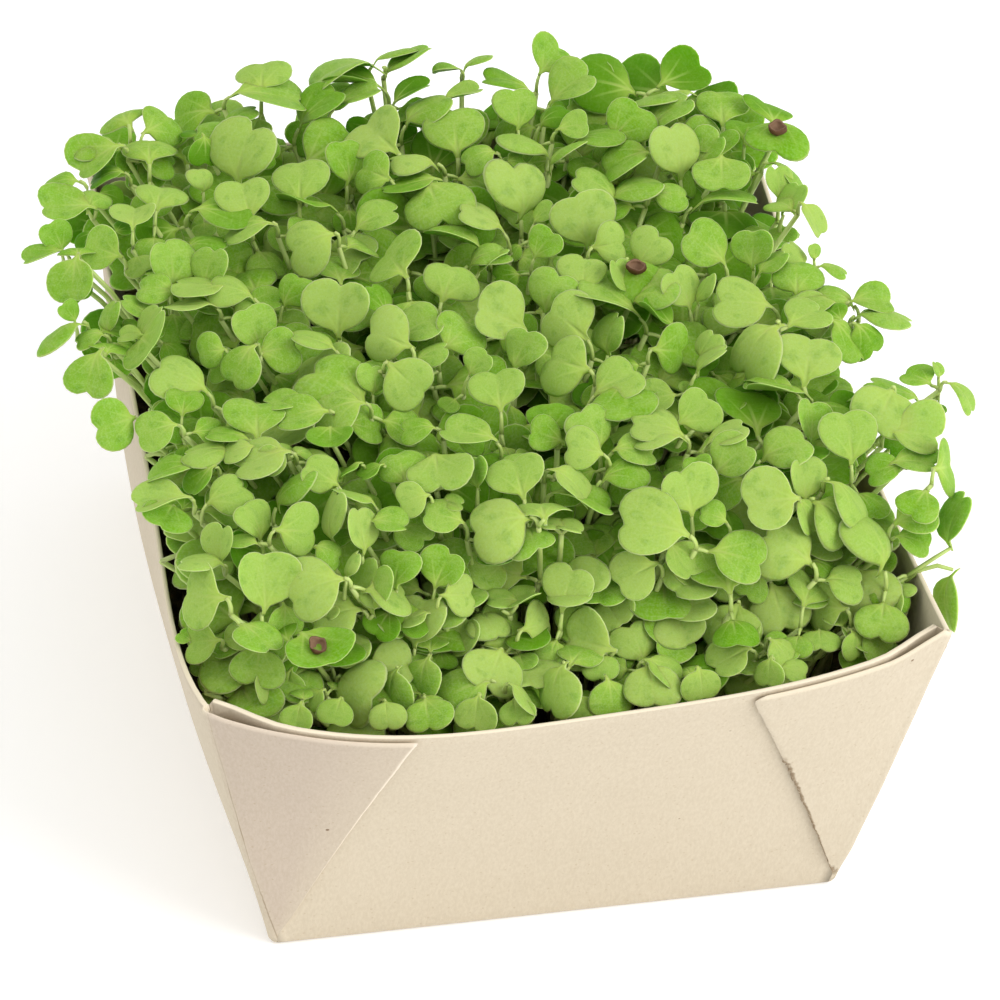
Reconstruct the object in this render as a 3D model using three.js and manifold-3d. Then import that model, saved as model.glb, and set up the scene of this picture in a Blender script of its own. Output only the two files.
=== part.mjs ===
// Microgreens tray: a folded paperboard tray of mustard seedlings growing in a bed of compost.
// Units are millimetres, +Z is up, the origin is the centre of the tray's underside, and the long
// sides run along Y.

import * as THREE from 'three';
import { mergeVertices } from 'three/addons/utils/BufferGeometryUtils.js';
import Module from 'manifold-3d';

const wasm = await Module();
wasm.setup();

// ---- Driving dimensions ----

// The tray, measured over the board. Its walls lean out from the base to the rim corners.
const RIM_LENGTH = 125;
const RIM_WIDTH = 100;
const BASE_LENGTH = 108;
const BASE_WIDTH = 80;
const TRAY_HEIGHT = 52;
const BOARD = 0.8;

// The rim is cut lower at the middle of each wall, and the walls spread under the load. The long
// walls swell at mid height, and more towards the back. The end walls bow out at the rim; the higher
// END_SQUARENESS is, the flatter the middle of the bow.
const SIDE_DIP = 5;
const END_DIP = 3.7;
const SIDE_SWELL = 4;
const SWELL_TO_BACK = 0.5;
const END_BOW = 5.4;
const END_SQUARENESS = 3.5;

// The rim is pushed out on both sides of the front left corner. The places and reaches of the two
// bulges are shares of the tray's half width and half length.
const FRONT_BULGE = { size: 2.1, place: -0.54, reach: 0.5 };
const LEFT_BULGE = { size: 2, place: -0.9, reach: 0.6 };

// The spare board of each corner is folded flat over the end wall as a two-ply web.
const WEB_WIDTH = 27;
const WEB_GAP = 0.3;
const WEB_FOOT = 0.04;

// The compost bed and the seedlings.
const BED_DEPTH = 24;
const CLEARANCE = 0.35;
const COLUMNS = 6;
const ROWS = 8;
const SEEDLINGS_PER_CLUMP = 2;
const ROOT_RADIUS = 4.6;
const ROOT_HEIGHT = 1.6;
const STEM_RADIUS = 0.65;
const LEAF_LENGTH = 10;
const SECOND_LEAF = 0.84;
const LEAF_ROLL = 0.22;
const LEAF_TURN = 1.2;
const CROWN_STEP = 3.4;
const CROWN_RADIUS = 1;
const LEAF_THICKNESS = 0.8;
const LEAF_SIZES = [0.86, 1.08];
const LEAF_LIFTS = [-0.1, 0.6];
const CANOPY_HEIGHT = 64;
const FRONT_CANOPY_HEIGHT = 53;
const CANOPY_SPREAD = { side: 1.3, back: 1.22, front: 1.06 };
const HULL_LENGTH = 3.4;
const HULL_WALL = 0.5;
const HULL_BREADTH = 0.7;
const HULL_DEPTH = 0.8;

// ---- Helpers ----

const { lerp, clamp } = THREE.MathUtils;

// A repeatable value from 0 to 1 for each whole number.
function chance(number) {
  const wave = Math.sin(number * 12.9898 + 2.1) * 43758.5453;
  return wave - Math.floor(wave);
}

// Moves every vertex of a geometry by place(x, y, z) => Vector3, and keeps its faces pointing out.
function reshape(geometry, place, mirrored = false) {
  const points = geometry.attributes.position;
  for (let i = 0; i < points.count; i++) {
    const moved = place(points.getX(i), points.getY(i), points.getZ(i));
    points.setXYZ(i, moved.x, moved.y, moved.z);
  }
  if (mirrored) {
    const index = geometry.index ? geometry.index.array : [...Array(points.count).keys()];
    const flipped = Array.from(index);
    for (let i = 0; i < flipped.length; i += 3) {
      [flipped[i + 1], flipped[i + 2]] = [flipped[i + 2], flipped[i + 1]];
    }
    geometry.setIndex(flipped);
  }
  return geometry;
}

function toSolid(geometry) {
  const bare = geometry.clone();
  bare.deleteAttribute('normal');
  bare.deleteAttribute('uv');
  const merged = mergeVertices(bare, 1e-4);
  return new wasm.Manifold(new wasm.Mesh({
    numProp: 3,
    vertProperties: new Float32Array(merged.attributes.position.array),
    triVerts: new Uint32Array(merged.index.array),
  }));
}

function toGeometry(solid) {
  const mesh = solid.getMesh();
  const geometry = new THREE.BufferGeometry();
  geometry.setAttribute('position', new THREE.BufferAttribute(new Float32Array(mesh.vertProperties), 3));
  geometry.setIndex(new THREE.BufferAttribute(new Uint32Array(mesh.triVerts), 1));
  geometry.computeVertexNormals();
  return geometry;
}

function material(color, roughness) {
  return new THREE.MeshStandardMaterial({ color, roughness, metalness: 0 });
}

// ---- The tray ----

const arch = (t) => 1 - t * t;

// How finely the walls are drawn across, along and up, and a level that is safely over the rim.
const WALL_SEGMENTS = [12, 10, 6];
const OVER_RIM = 1.12;

// How far a bulge of the rim pushes a wall out, at a place from -1 to 1 along it.
function bulgeAt(bulge, place, level) {
  const offset = (place - bulge.place) / bulge.reach;
  return bulge.size * Math.exp(-offset * offset) * (1 - place ** 8) * level;
}

// Half sizes of the tray's outer face. across and along run from -1 to 1, level from 0 at the base
// to 1 at the rim. side is below 0 at the left wall, and end is below 0 at the front wall.
function halfWidth(along, level, side) {
  const swell = SIDE_SWELL * arch(along) * (1 + SWELL_TO_BACK * along) * Math.sin(Math.PI * level);
  const bulge = side < 0 ? bulgeAt(LEFT_BULGE, along, level) : 0;
  return lerp(BASE_WIDTH, RIM_WIDTH, level) / 2 + swell + bulge;
}

function halfLength(across, level, end) {
  const bow = END_BOW * (1 - Math.abs(across) ** END_SQUARENESS) * level * level;
  const bulge = end < 0 ? bulgeAt(FRONT_BULGE, across, level * level) : 0;
  return lerp(BASE_LENGTH, RIM_LENGTH, level) / 2 + bow + bulge;
}

function rimHeight(across, along) {
  const atEnd = END_DIP * arch(across) * along ** 4;
  const atSide = SIDE_DIP * arch(along) * across ** 4;
  return TRAY_HEIGHT - atEnd - atSide;
}

// A block that follows the tray's walls, drawn in by inset and reaching from one level to another.
function trayBlock({ inset, floor, low, high }) {
  const block = new THREE.BoxGeometry(2, 2, 1, ...WALL_SEGMENTS);
  return reshape(block, (x, y, z) => {
    const level = lerp(low, high, z + 0.5);
    return new THREE.Vector3(
      x * (halfWidth(y, level, x) - inset),
      y * (halfLength(x, level, y) - inset),
      lerp(floor, rimHeight(x, y) * high, z + 0.5),
    );
  });
}

// One corner web in plan: reach is 0 at the corner and 1 at the diagonal fold, and proud is the
// distance in front of the end wall. The slot between the two plies stays open at the rim.
function webOutline() {
  const inner = WEB_GAP;
  const outer = 2 * BOARD + 2 * WEB_GAP;
  const cornerStart = -0.001;
  const cornerEnd = 0.05;
  const foldTip = 1.02;
  const slotStart = 0.09;
  const slotEnd = 0.94;
  const between = [0.28, 0.5, 0.75];
  const outline = new THREE.Shape();
  outline.moveTo(cornerStart, -BOARD / 2);
  outline.lineTo(cornerEnd, -BOARD / 2);
  outline.lineTo(cornerEnd + 0.01, inner);
  for (const reach of between) {
    outline.lineTo(reach, inner);
  }
  outline.lineTo(1, inner);
  outline.lineTo(foldTip, outer / 2);
  outline.lineTo(1, outer);
  for (const reach of [...between].reverse()) {
    outline.lineTo(reach, outer);
  }
  outline.lineTo(cornerStart, outer);
  outline.closePath();
  const slot = new THREE.Path();
  slot.moveTo(slotStart, inner + BOARD);
  for (const reach of [...between, slotEnd]) {
    slot.lineTo(reach, inner + BOARD);
  }
  for (const reach of [slotEnd, ...[...between].reverse(), slotStart]) {
    slot.lineTo(reach, outer - BOARD);
  }
  slot.closePath();
  outline.holes.push(slot);
  return outline;
}

function cornerWeb(side, end) {
  const strip = new THREE.ExtrudeGeometry(webOutline(), { depth: 1, steps: 5, bevelEnabled: false });
  const place = (reach, proud, height) => {
    const level = lerp(WEB_FOOT, 1, height);
    const width = halfWidth(1, level, side);
    const across = 1 - (reach * WEB_WIDTH * level) / width;
    const x = side * across * width;
    const y = end * (halfLength(side * across, level, end) + proud * Math.min(1, 0.3 + 2 * level));
    return new THREE.Vector3(x, y, level * rimHeight(across, 1));
  };
  return reshape(strip, place, side * end > 0);
}

function boardTray() {
  const outside = toSolid(trayBlock({ inset: 0, floor: 0, low: 0, high: 1 }));
  const inside = toSolid(trayBlock({
    inset: BOARD, floor: BOARD, low: BOARD / TRAY_HEIGHT, high: OVER_RIM,
  }));
  let tray = outside.subtract(inside);
  for (const side of [-1, 1]) {
    for (const end of [-1, 1]) {
      tray = tray.add(toSolid(cornerWeb(side, end)));
    }
  }
  return tray;
}

// ---- The compost bed ----

const bedLevel = (BOARD + BED_DEPTH) / TRAY_HEIGHT;
const bedTop = bedLevel * TRAY_HEIGHT;

function growingMedium() {
  const [across, along] = WALL_SEGMENTS;
  const block = new THREE.BoxGeometry(2, 2, 1, across, along, 1);
  const inset = BOARD + 2 * CLEARANCE;
  return reshape(block, (x, y, z) => {
    const level = z > 0 ? bedLevel : (BOARD + CLEARANCE) / TRAY_HEIGHT;
    return new THREE.Vector3(
      x * (halfWidth(y, level, x) - inset),
      y * (halfLength(x, level, y) - inset),
      level * TRAY_HEIGHT,
    );
  });
}

// ---- The seedlings ----

const bedHalfWidth = halfWidth(1, bedLevel, 1) - BOARD;
const bedHalfLength = halfLength(1, bedLevel, 1) - BOARD;
const clumpBase = bedTop + CLEARANCE;

// Where a spot on the bed, given from -1 to 1 each way, has its seedlings' leaves.
function overhead(across, along) {
  const lengthSpread = along > 0 ? CANOPY_SPREAD.back : CANOPY_SPREAD.front;
  const rise = clamp((along + 1) / 0.5, 0, 1);
  return new THREE.Vector3(
    across * bedHalfWidth * CANOPY_SPREAD.side,
    along * bedHalfLength * lengthSpread,
    lerp(FRONT_CANOPY_HEIGHT, CANOPY_HEIGHT, rise) - 2 * across * across,
  );
}

function onBed(across, along) {
  return new THREE.Vector3(across * bedHalfWidth, along * bedHalfLength, clumpBase);
}

// The space that belongs to one clump, so that neighbours stay clear of each other.
function clumpSpace(column, row) {
  const far = 1.8;
  const edge = (index, count) => {
    if (index === 0) return -far;
    if (index === count) return far;
    return (2 * index) / count - 1;
  };
  const block = new THREE.BoxGeometry(1, 1, 1);
  return reshape(block, (x, y, z) => {
    const across = edge(column + (x > 0 ? 1 : 0), COLUMNS);
    const along = edge(row + (y > 0 ? 1 : 0), ROWS);
    const low = onBed(across, along);
    const high = overhead(across, along);
    const spot = z > 0 ? high.sub(low).multiplyScalar(1.6).add(low) : low;
    spot.z = z > 0 ? clumpBase + 1.6 * (CANOPY_HEIGHT - clumpBase) : clumpBase;
    spot.x -= Math.sign(x) * CLEARANCE / 2;
    spot.y -= Math.sign(y) * CLEARANCE / 2;
    return spot;
  });
}

// A pair of seed leaves on one crown, each broad and notched at its tip. The first lies along +X
// and the second, smaller one along -X. Both rise from the crown at the lift slope and roll a little.
function leafPair(size, lift) {
  const side = [[0.1, CROWN_RADIUS], [0.45, 5.2], [0.93, 3.8], [0.86, 0]];
  const points = [];
  for (const [share, half] of side) points.push([share * LEAF_LENGTH, -half]);
  for (const [share, half] of side.slice(0, -1).reverse()) points.push([share * LEAF_LENGTH, half]);
  for (const [share, half] of side) points.push([-share * SECOND_LEAF * LEAF_LENGTH, half * SECOND_LEAF]);
  for (const [share, half] of side.slice(0, -1).reverse()) {
    points.push([-share * SECOND_LEAF * LEAF_LENGTH, -half * SECOND_LEAF]);
  }
  const outline = new THREE.Shape(points.map(([x, y]) => new THREE.Vector2(x, y)));
  const pair = new THREE.ExtrudeGeometry(outline, { depth: LEAF_THICKNESS, steps: 1, bevelEnabled: false });
  pair.scale(size, size, 1);
  return reshape(pair, (x, y, z) => {
    const reach = Math.max(0, Math.abs(x) - CROWN_RADIUS);
    const rise = lift * reach + LEAF_ROLL * y * Math.sign(x) * Math.min(1, reach);
    return new THREE.Vector3(x, y, z + rise);
  });
}

function stem(root, crown) {
  const shoulder = new THREE.Vector3(root.x, root.y, lerp(root.z, crown.z, 0.65));
  const line = new THREE.QuadraticBezierCurve3(root, shoulder, crown);
  const section = new THREE.Shape();
  for (let corner = 0; corner < 3; corner++) {
    const angle = (2 * Math.PI * corner) / 3;
    const point = [STEM_RADIUS * Math.cos(angle), STEM_RADIUS * Math.sin(angle)];
    if (corner === 0) section.moveTo(...point);
    else section.lineTo(...point);
  }
  return new THREE.ExtrudeGeometry(section, { steps: 2, extrudePath: line, bevelEnabled: false });
}

// One seedling: a stem with its pair of seed leaves.
function seedling({ root, crown, turn, size, lift }) {
  const leaves = leafPair(size, lift);
  leaves.rotateZ(turn);
  leaves.translate(crown.x, crown.y, crown.z - LEAF_THICKNESS / 2);
  return toSolid(stem(root, crown)).add(toSolid(leaves));
}

function wallsWithClearance() {
  const outside = toSolid(trayBlock({
    inset: -CLEARANCE - 3 * BOARD, floor: 0, low: 0, high: 1.02,
  }));
  const inside = toSolid(trayBlock({
    inset: BOARD + CLEARANCE, floor: BOARD, low: BOARD / TRAY_HEIGHT, high: OVER_RIM,
  }));
  return outside.subtract(inside);
}

const walls = wallsWithClearance();

// Where one seedling of a clump stands, which way its first leaf points, and its size and lift.
function seedlingPlan(column, row, plant) {
  const across = (2 * column + 1) / COLUMNS - 1;
  const along = (2 * row + 1) / ROWS - 1;
  const number = row * COLUMNS + column;
  const bearing = 2 * Math.PI * (chance(number + 1) + plant / SEEDLINGS_PER_CLUMP);
  const out = new THREE.Vector3(Math.cos(bearing), Math.sin(bearing), 0);
  const root = onBed(across, along).addScaledVector(out, ROOT_RADIUS / 2);
  root.z += ROOT_HEIGHT / 2;
  const crown = overhead(across, along).addScaledVector(out, ROOT_RADIUS);
  crown.z -= CROWN_STEP * plant + 2 * chance(3 * number + plant + 50);
  return {
    root,
    crown,
    turn: bearing + LEAF_TURN,
    size: lerp(...LEAF_SIZES, chance(5 * number + plant + 90)),
    lift: lerp(...LEAF_LIFTS, chance(7 * number + plant + 130)),
  };
}

function rootDisc(column, row) {
  const centre = onBed((2 * column + 1) / COLUMNS - 1, (2 * row + 1) / ROWS - 1);
  const disc = new THREE.CylinderGeometry(ROOT_RADIUS, ROOT_RADIUS, ROOT_HEIGHT, 8);
  disc.rotateX(Math.PI / 2);
  disc.translate(centre.x, centre.y, centre.z + ROOT_HEIGHT / 2);
  return toSolid(disc);
}

// A clump is the seedlings that share one mat of roots, kept clear of its neighbours and the tray.
function seedlingClump(column, row) {
  let clump = rootDisc(column, row);
  for (let plant = 0; plant < SEEDLINGS_PER_CLUMP; plant++) {
    clump = clump.add(seedling(seedlingPlan(column, row, plant)));
  }
  const kept = clump.intersect(toSolid(clumpSpace(column, row))).subtract(walls);
  const bodies = kept.decompose().sort((first, second) => second.volume() - first.volume());
  return bodies[0];
}

// ---- Seed hulls ----

// The leaves that still carry a split seed hull: column, row and plant of the clump, and which leaf.
const HULL_SEATS = [
  { column: 1, row: 0, plant: 0, leaf: 0 },
  { column: 3, row: 4, plant: 1, leaf: 1 },
  { column: 4, row: 4, plant: 0, leaf: 0 },
  { column: 5, row: 6, plant: 0, leaf: 0 },
];

// A split hull is a small dished shell, open upwards, that lies on the middle of its leaf.
function seedHull({ column, row, plant, leaf }) {
  const radius = HULL_LENGTH / 2;
  const steps = 3;
  const profile = [];
  for (let step = 0; step <= 2 * steps + 1; step++) {
    const outer = step <= steps;
    const angle = (Math.PI / 2) * ((outer ? step : 2 * steps + 1 - step) / steps);
    const reach = outer ? radius : radius - HULL_WALL;
    profile.push(new THREE.Vector2(reach * Math.sin(angle), -reach * Math.cos(angle)));
  }
  const shell = new THREE.LatheGeometry(profile, 8);
  shell.rotateX(Math.PI / 2);
  shell.scale(1, HULL_BREADTH, HULL_DEPTH);
  const { crown, turn, size, lift } = seedlingPlan(column, row, plant);
  const out = leaf === 0 ? 1 : -SECOND_LEAF;
  const seat = out * size * LEAF_LENGTH / 2;
  shell.rotateY(-lift * Math.sign(out));
  const leafTop = lift * (Math.abs(seat) - CROWN_RADIUS) + LEAF_THICKNESS / 2;
  shell.translate(seat, 0, leafTop + HULL_DEPTH * radius + 2 * CLEARANCE);
  shell.rotateZ(turn);
  shell.translate(crown.x, crown.y, crown.z);
  return shell;
}

// ---- Assembly ----

const microgreensTray = new THREE.Group();

function addPiece(name, geometry, look) {
  const piece = new THREE.Mesh(geometry, look);
  piece.name = name;
  microgreensTray.add(piece);
  return piece;
}

addPiece('board_tray', toGeometry(boardTray()), material(0xdfd0b4, 0.85));
addPiece('growing_medium', growingMedium(), material(0x33241a, 1));

for (let row = 0; row < ROWS; row++) {
  for (let column = 0; column < COLUMNS; column++) {
    const tone = new THREE.Color(0x74a848).lerp(new THREE.Color(0x9cc455), chance(11 * row + column));
    const name = `seedling_clump_r${row + 1}c${column + 1}`;
    addPiece(name, toGeometry(seedlingClump(column, row)), material(tone, 0.6));
  }
}

HULL_SEATS.forEach((seat, index) => {
  addPiece(`seed_hull_${index + 1}`, seedHull(seat), material(0x5a3a24, 0.8));
});

export default microgreensTray;
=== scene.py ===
"""A folded board tray of mustard seedlings in compost, built as an add-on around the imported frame."""

import math

import bpy
import numpy as np
from mathutils import Matrix, Vector, noise


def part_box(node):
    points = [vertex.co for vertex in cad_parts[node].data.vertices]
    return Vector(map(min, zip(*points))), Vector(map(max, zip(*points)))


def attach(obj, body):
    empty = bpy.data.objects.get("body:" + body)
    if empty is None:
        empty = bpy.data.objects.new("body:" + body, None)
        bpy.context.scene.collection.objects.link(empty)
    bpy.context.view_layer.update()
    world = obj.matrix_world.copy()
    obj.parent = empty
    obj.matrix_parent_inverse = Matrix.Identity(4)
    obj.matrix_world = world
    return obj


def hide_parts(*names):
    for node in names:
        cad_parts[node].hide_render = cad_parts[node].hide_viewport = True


bl_info = {
    "name": "Microgreens Tray",
    "version": (1, 0, 0),
    "blender": (4, 5, 0),
    "location": "View3D > Sidebar > Microgreens",
    "description": "Makes a folded board tray of mustard seedlings growing in compost",
    "category": "Add Mesh",
}

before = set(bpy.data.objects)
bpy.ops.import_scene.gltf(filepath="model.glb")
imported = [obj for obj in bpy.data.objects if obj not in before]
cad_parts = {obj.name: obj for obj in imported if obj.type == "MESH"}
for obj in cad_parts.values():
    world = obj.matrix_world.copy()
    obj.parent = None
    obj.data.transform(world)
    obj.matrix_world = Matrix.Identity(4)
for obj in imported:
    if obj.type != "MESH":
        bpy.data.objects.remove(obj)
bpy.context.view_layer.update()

MM = 0.001
BODY = "root"

# The clumps stand in a grid: row 1 is at the front and column 1 at the left.
COLUMNS = 6
ROWS = 8
HULL_COUNT = 4

# The bed and where the leaves spread to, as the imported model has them.
TRAY_BOARD = 0.8 * MM
CLEARANCE = 0.35 * MM
CANOPY_SPREAD_SIDE = 1.3
CANOPY_SPREAD_BACK = 1.22
CANOPY_SPREAD_FRONT = 1.06


# ---- Sizes and colours ----

class TrayProperties(bpy.types.PropertyGroup):
    rim_length: bpy.props.FloatProperty(
        name="Rim length", description="Length over the rim, along Y", default=0.125, unit="LENGTH")
    rim_width: bpy.props.FloatProperty(
        name="Rim width", description="Width over the rim, along X", default=0.1, unit="LENGTH")
    base_length: bpy.props.FloatProperty(
        name="Base length", description="Length of the underside", default=0.108, unit="LENGTH")
    base_width: bpy.props.FloatProperty(
        name="Base width", description="Width of the underside", default=0.08, unit="LENGTH")
    height: bpy.props.FloatProperty(
        name="Height", description="Height of the rim corners", default=0.052, unit="LENGTH")
    board: bpy.props.FloatProperty(
        name="Board", description="Thickness of the paperboard", default=0.0007, unit="LENGTH")
    side_dip: bpy.props.FloatProperty(
        name="Side dip", description="How much lower the long rims are cut", default=0.005, unit="LENGTH")
    end_dip: bpy.props.FloatProperty(
        name="End dip", description="How much lower the short rims are cut", default=0.0037, unit="LENGTH")
    side_swell: bpy.props.FloatProperty(
        name="Side swell", description="How far the long walls swell at mid height", default=0.004,
        unit="LENGTH")
    swell_to_back: bpy.props.FloatProperty(
        name="Swell to back", description="How much more the long walls swell at the back", default=0.5)
    end_bow: bpy.props.FloatProperty(
        name="End bow", description="How far the short walls bow out", default=0.0054, unit="LENGTH")
    end_squareness: bpy.props.FloatProperty(
        name="End squareness", description="The higher, the flatter the middle of the bow", default=3.5)
    front_bulge: bpy.props.FloatProperty(
        name="Front bulge", description="How much further the front rim is pushed out near its left corner",
        default=0.0021, unit="LENGTH")
    left_bulge: bpy.props.FloatProperty(
        name="Left bulge", description="How much further the left rim is pushed out near its front corner",
        default=0.002, unit="LENGTH")
    web_width: bpy.props.FloatProperty(
        name="Web width", description="Width of a corner web at the rim", default=0.027, unit="LENGTH")
    tuck: bpy.props.FloatProperty(
        name="Tuck", description="How far an end wall's corners are tucked in behind its webs",
        default=0.0021, unit="LENGTH")
    notch: bpy.props.FloatProperty(
        name="Corner notch", description="Depth of the gap between an end wall and a side wall",
        default=0.005, unit="LENGTH")
    web_drop: bpy.props.FloatProperty(
        name="Web drop", description="How far a web's edge is under the rim", default=0.0004, unit="LENGTH")
    board_colour: bpy.props.FloatVectorProperty(
        name="Board colour", description="Unbleached board", subtype="COLOR",
        default=(0.582, 0.505, 0.381), min=0, max=1)
    edge_colour: bpy.props.FloatVectorProperty(
        name="Cut edge colour", description="Freshly cut board", subtype="COLOR",
        default=(0.80, 0.70, 0.53), min=0, max=1)
    fleck_colour: bpy.props.FloatVectorProperty(
        name="Fleck colour", description="Bark specks in the board", subtype="COLOR",
        default=(0.22, 0.15, 0.09), min=0, max=1)
    # Painted shade: the tint that darkens the front left web, which faces away from the light.
    painted_shade_tint: bpy.props.FloatVectorProperty(
        name="Painted shade tint", description="What duller board is multiplied by", subtype="COLOR",
        default=(0.86, 0.83, 0.87), min=0, max=1)
    torn_colour: bpy.props.FloatVectorProperty(
        name="Torn colour", description="Rough brown core where the fold is torn", subtype="COLOR",
        default=(0.24, 0.17, 0.10), min=0, max=1)


class CompostProperties(bpy.types.PropertyGroup):
    depth: bpy.props.FloatProperty(
        name="Depth", description="Depth of the bed", default=0.024, unit="LENGTH")
    crumb_size: bpy.props.FloatProperty(
        name="Crumb size", description="Size of the larger crumbs", default=0.0022, unit="LENGTH")
    crumbs: bpy.props.IntProperty(
        name="Crumbs", description="How many loose crumbs lie on the bed", default=420)
    dark_colour: bpy.props.FloatVectorProperty(
        name="Dark colour", description="Damp compost", subtype="COLOR",
        default=(0.026, 0.015, 0.008), min=0, max=1)
    light_colour: bpy.props.FloatVectorProperty(
        name="Light colour", description="Dry fibres", subtype="COLOR",
        default=(0.16, 0.095, 0.05), min=0, max=1)


class SeedlingProperties(bpy.types.PropertyGroup):
    leaf_length: bpy.props.FloatProperty(
        name="Leaf length", description="Length of a seed leaf's blade", default=0.0083, unit="LENGTH")
    leaf_thickness: bpy.props.FloatProperty(
        name="Leaf thickness", description="Thickness of a blade", default=0.00036, unit="LENGTH")
    stem_radius: bpy.props.FloatProperty(
        name="Stem radius", description="Radius of a stem at its foot", default=0.00045, unit="LENGTH")
    canopy_height: bpy.props.FloatProperty(
        name="Canopy height", description="Height of the leaves over the bed's middle", default=0.064,
        unit="LENGTH")
    front_height: bpy.props.FloatProperty(
        name="Front height", description="Height of the leaves at the front", default=0.048, unit="LENGTH")
    across: bpy.props.IntProperty(
        name="Seedlings across", description="Seedlings sown across the tray", default=15)
    along: bpy.props.IntProperty(
        name="Seedlings along", description="Seedlings sown along the tray", default=21)
    lime_colour: bpy.props.FloatVectorProperty(
        name="Lime", description="Youngest leaves", subtype="COLOR",
        default=(0.35, 0.485, 0.10), min=0, max=1)
    green_colour: bpy.props.FloatVectorProperty(
        name="Green", description="Most leaves", subtype="COLOR",
        default=(0.165, 0.365, 0.008), min=0, max=1)
    blue_colour: bpy.props.FloatVectorProperty(
        name="Blue green", description="Oldest leaves", subtype="COLOR",
        default=(0.07, 0.21, 0.004), min=0, max=1)
    stem_colour: bpy.props.FloatVectorProperty(
        name="Stem", description="Pale stems", subtype="COLOR",
        default=(0.48, 0.60, 0.17), min=0, max=1)
    foot_colour: bpy.props.FloatVectorProperty(
        name="Stem foot", description="The stem near the compost", subtype="COLOR",
        default=(0.66, 0.60, 0.38), min=0, max=1)


class HullProperties(bpy.types.PropertyGroup):
    wall: bpy.props.FloatProperty(
        name="Hull wall", description="Thickness of a seed hull", default=0.00025, unit="LENGTH")
    colour: bpy.props.FloatVectorProperty(
        name="Hull colour", description="Split seed hulls", subtype="COLOR",
        default=(0.085, 0.038, 0.016), min=0, max=1)


class StageProperties(bpy.types.PropertyGroup):
    azimuth: bpy.props.FloatProperty(
        name="Azimuth", description="Where the camera stands round the tray", subtype="ANGLE",
        default=math.radians(-11.85))
    elevation: bpy.props.FloatProperty(
        name="Elevation", description="How steeply the camera looks down", subtype="ANGLE",
        default=math.radians(38.56))
    roll: bpy.props.FloatProperty(
        name="Roll", description="How far the camera leans", subtype="ANGLE", default=math.radians(1.92))
    distance: bpy.props.FloatProperty(
        name="Distance", description="From the camera to the point it looks at", default=0.7697,
        unit="LENGTH")
    aim: bpy.props.FloatVectorProperty(
        name="Aim", description="The point on the floor the camera looks at", subtype="XYZ",
        default=(0.0094, 0.0379, 0.0), unit="LENGTH")
    lens: bpy.props.FloatProperty(
        name="Lens", description="Focal length in millimetres", default=180.9, unit="CAMERA")
    floor_glow: bpy.props.FloatProperty(
        name="Floor glow", description="A little light of the floor's own, as on a light table",
        default=0.15)
    floor_colour: bpy.props.FloatVectorProperty(
        name="Floor", description="The pale floor", subtype="COLOR", default=(0.97, 0.97, 0.97),
        min=0, max=1)
    key_power: bpy.props.FloatProperty(
        name="Key light", description="Power in watts", default=9.0, unit="POWER")
    fill_power: bpy.props.FloatProperty(
        name="Fill light", description="Power in watts", default=1.0, unit="POWER")
    sky: bpy.props.FloatProperty(name="Sky", description="Strength of the room's own light", default=0.9)


# ---- The leaves that stand out ----

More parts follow.
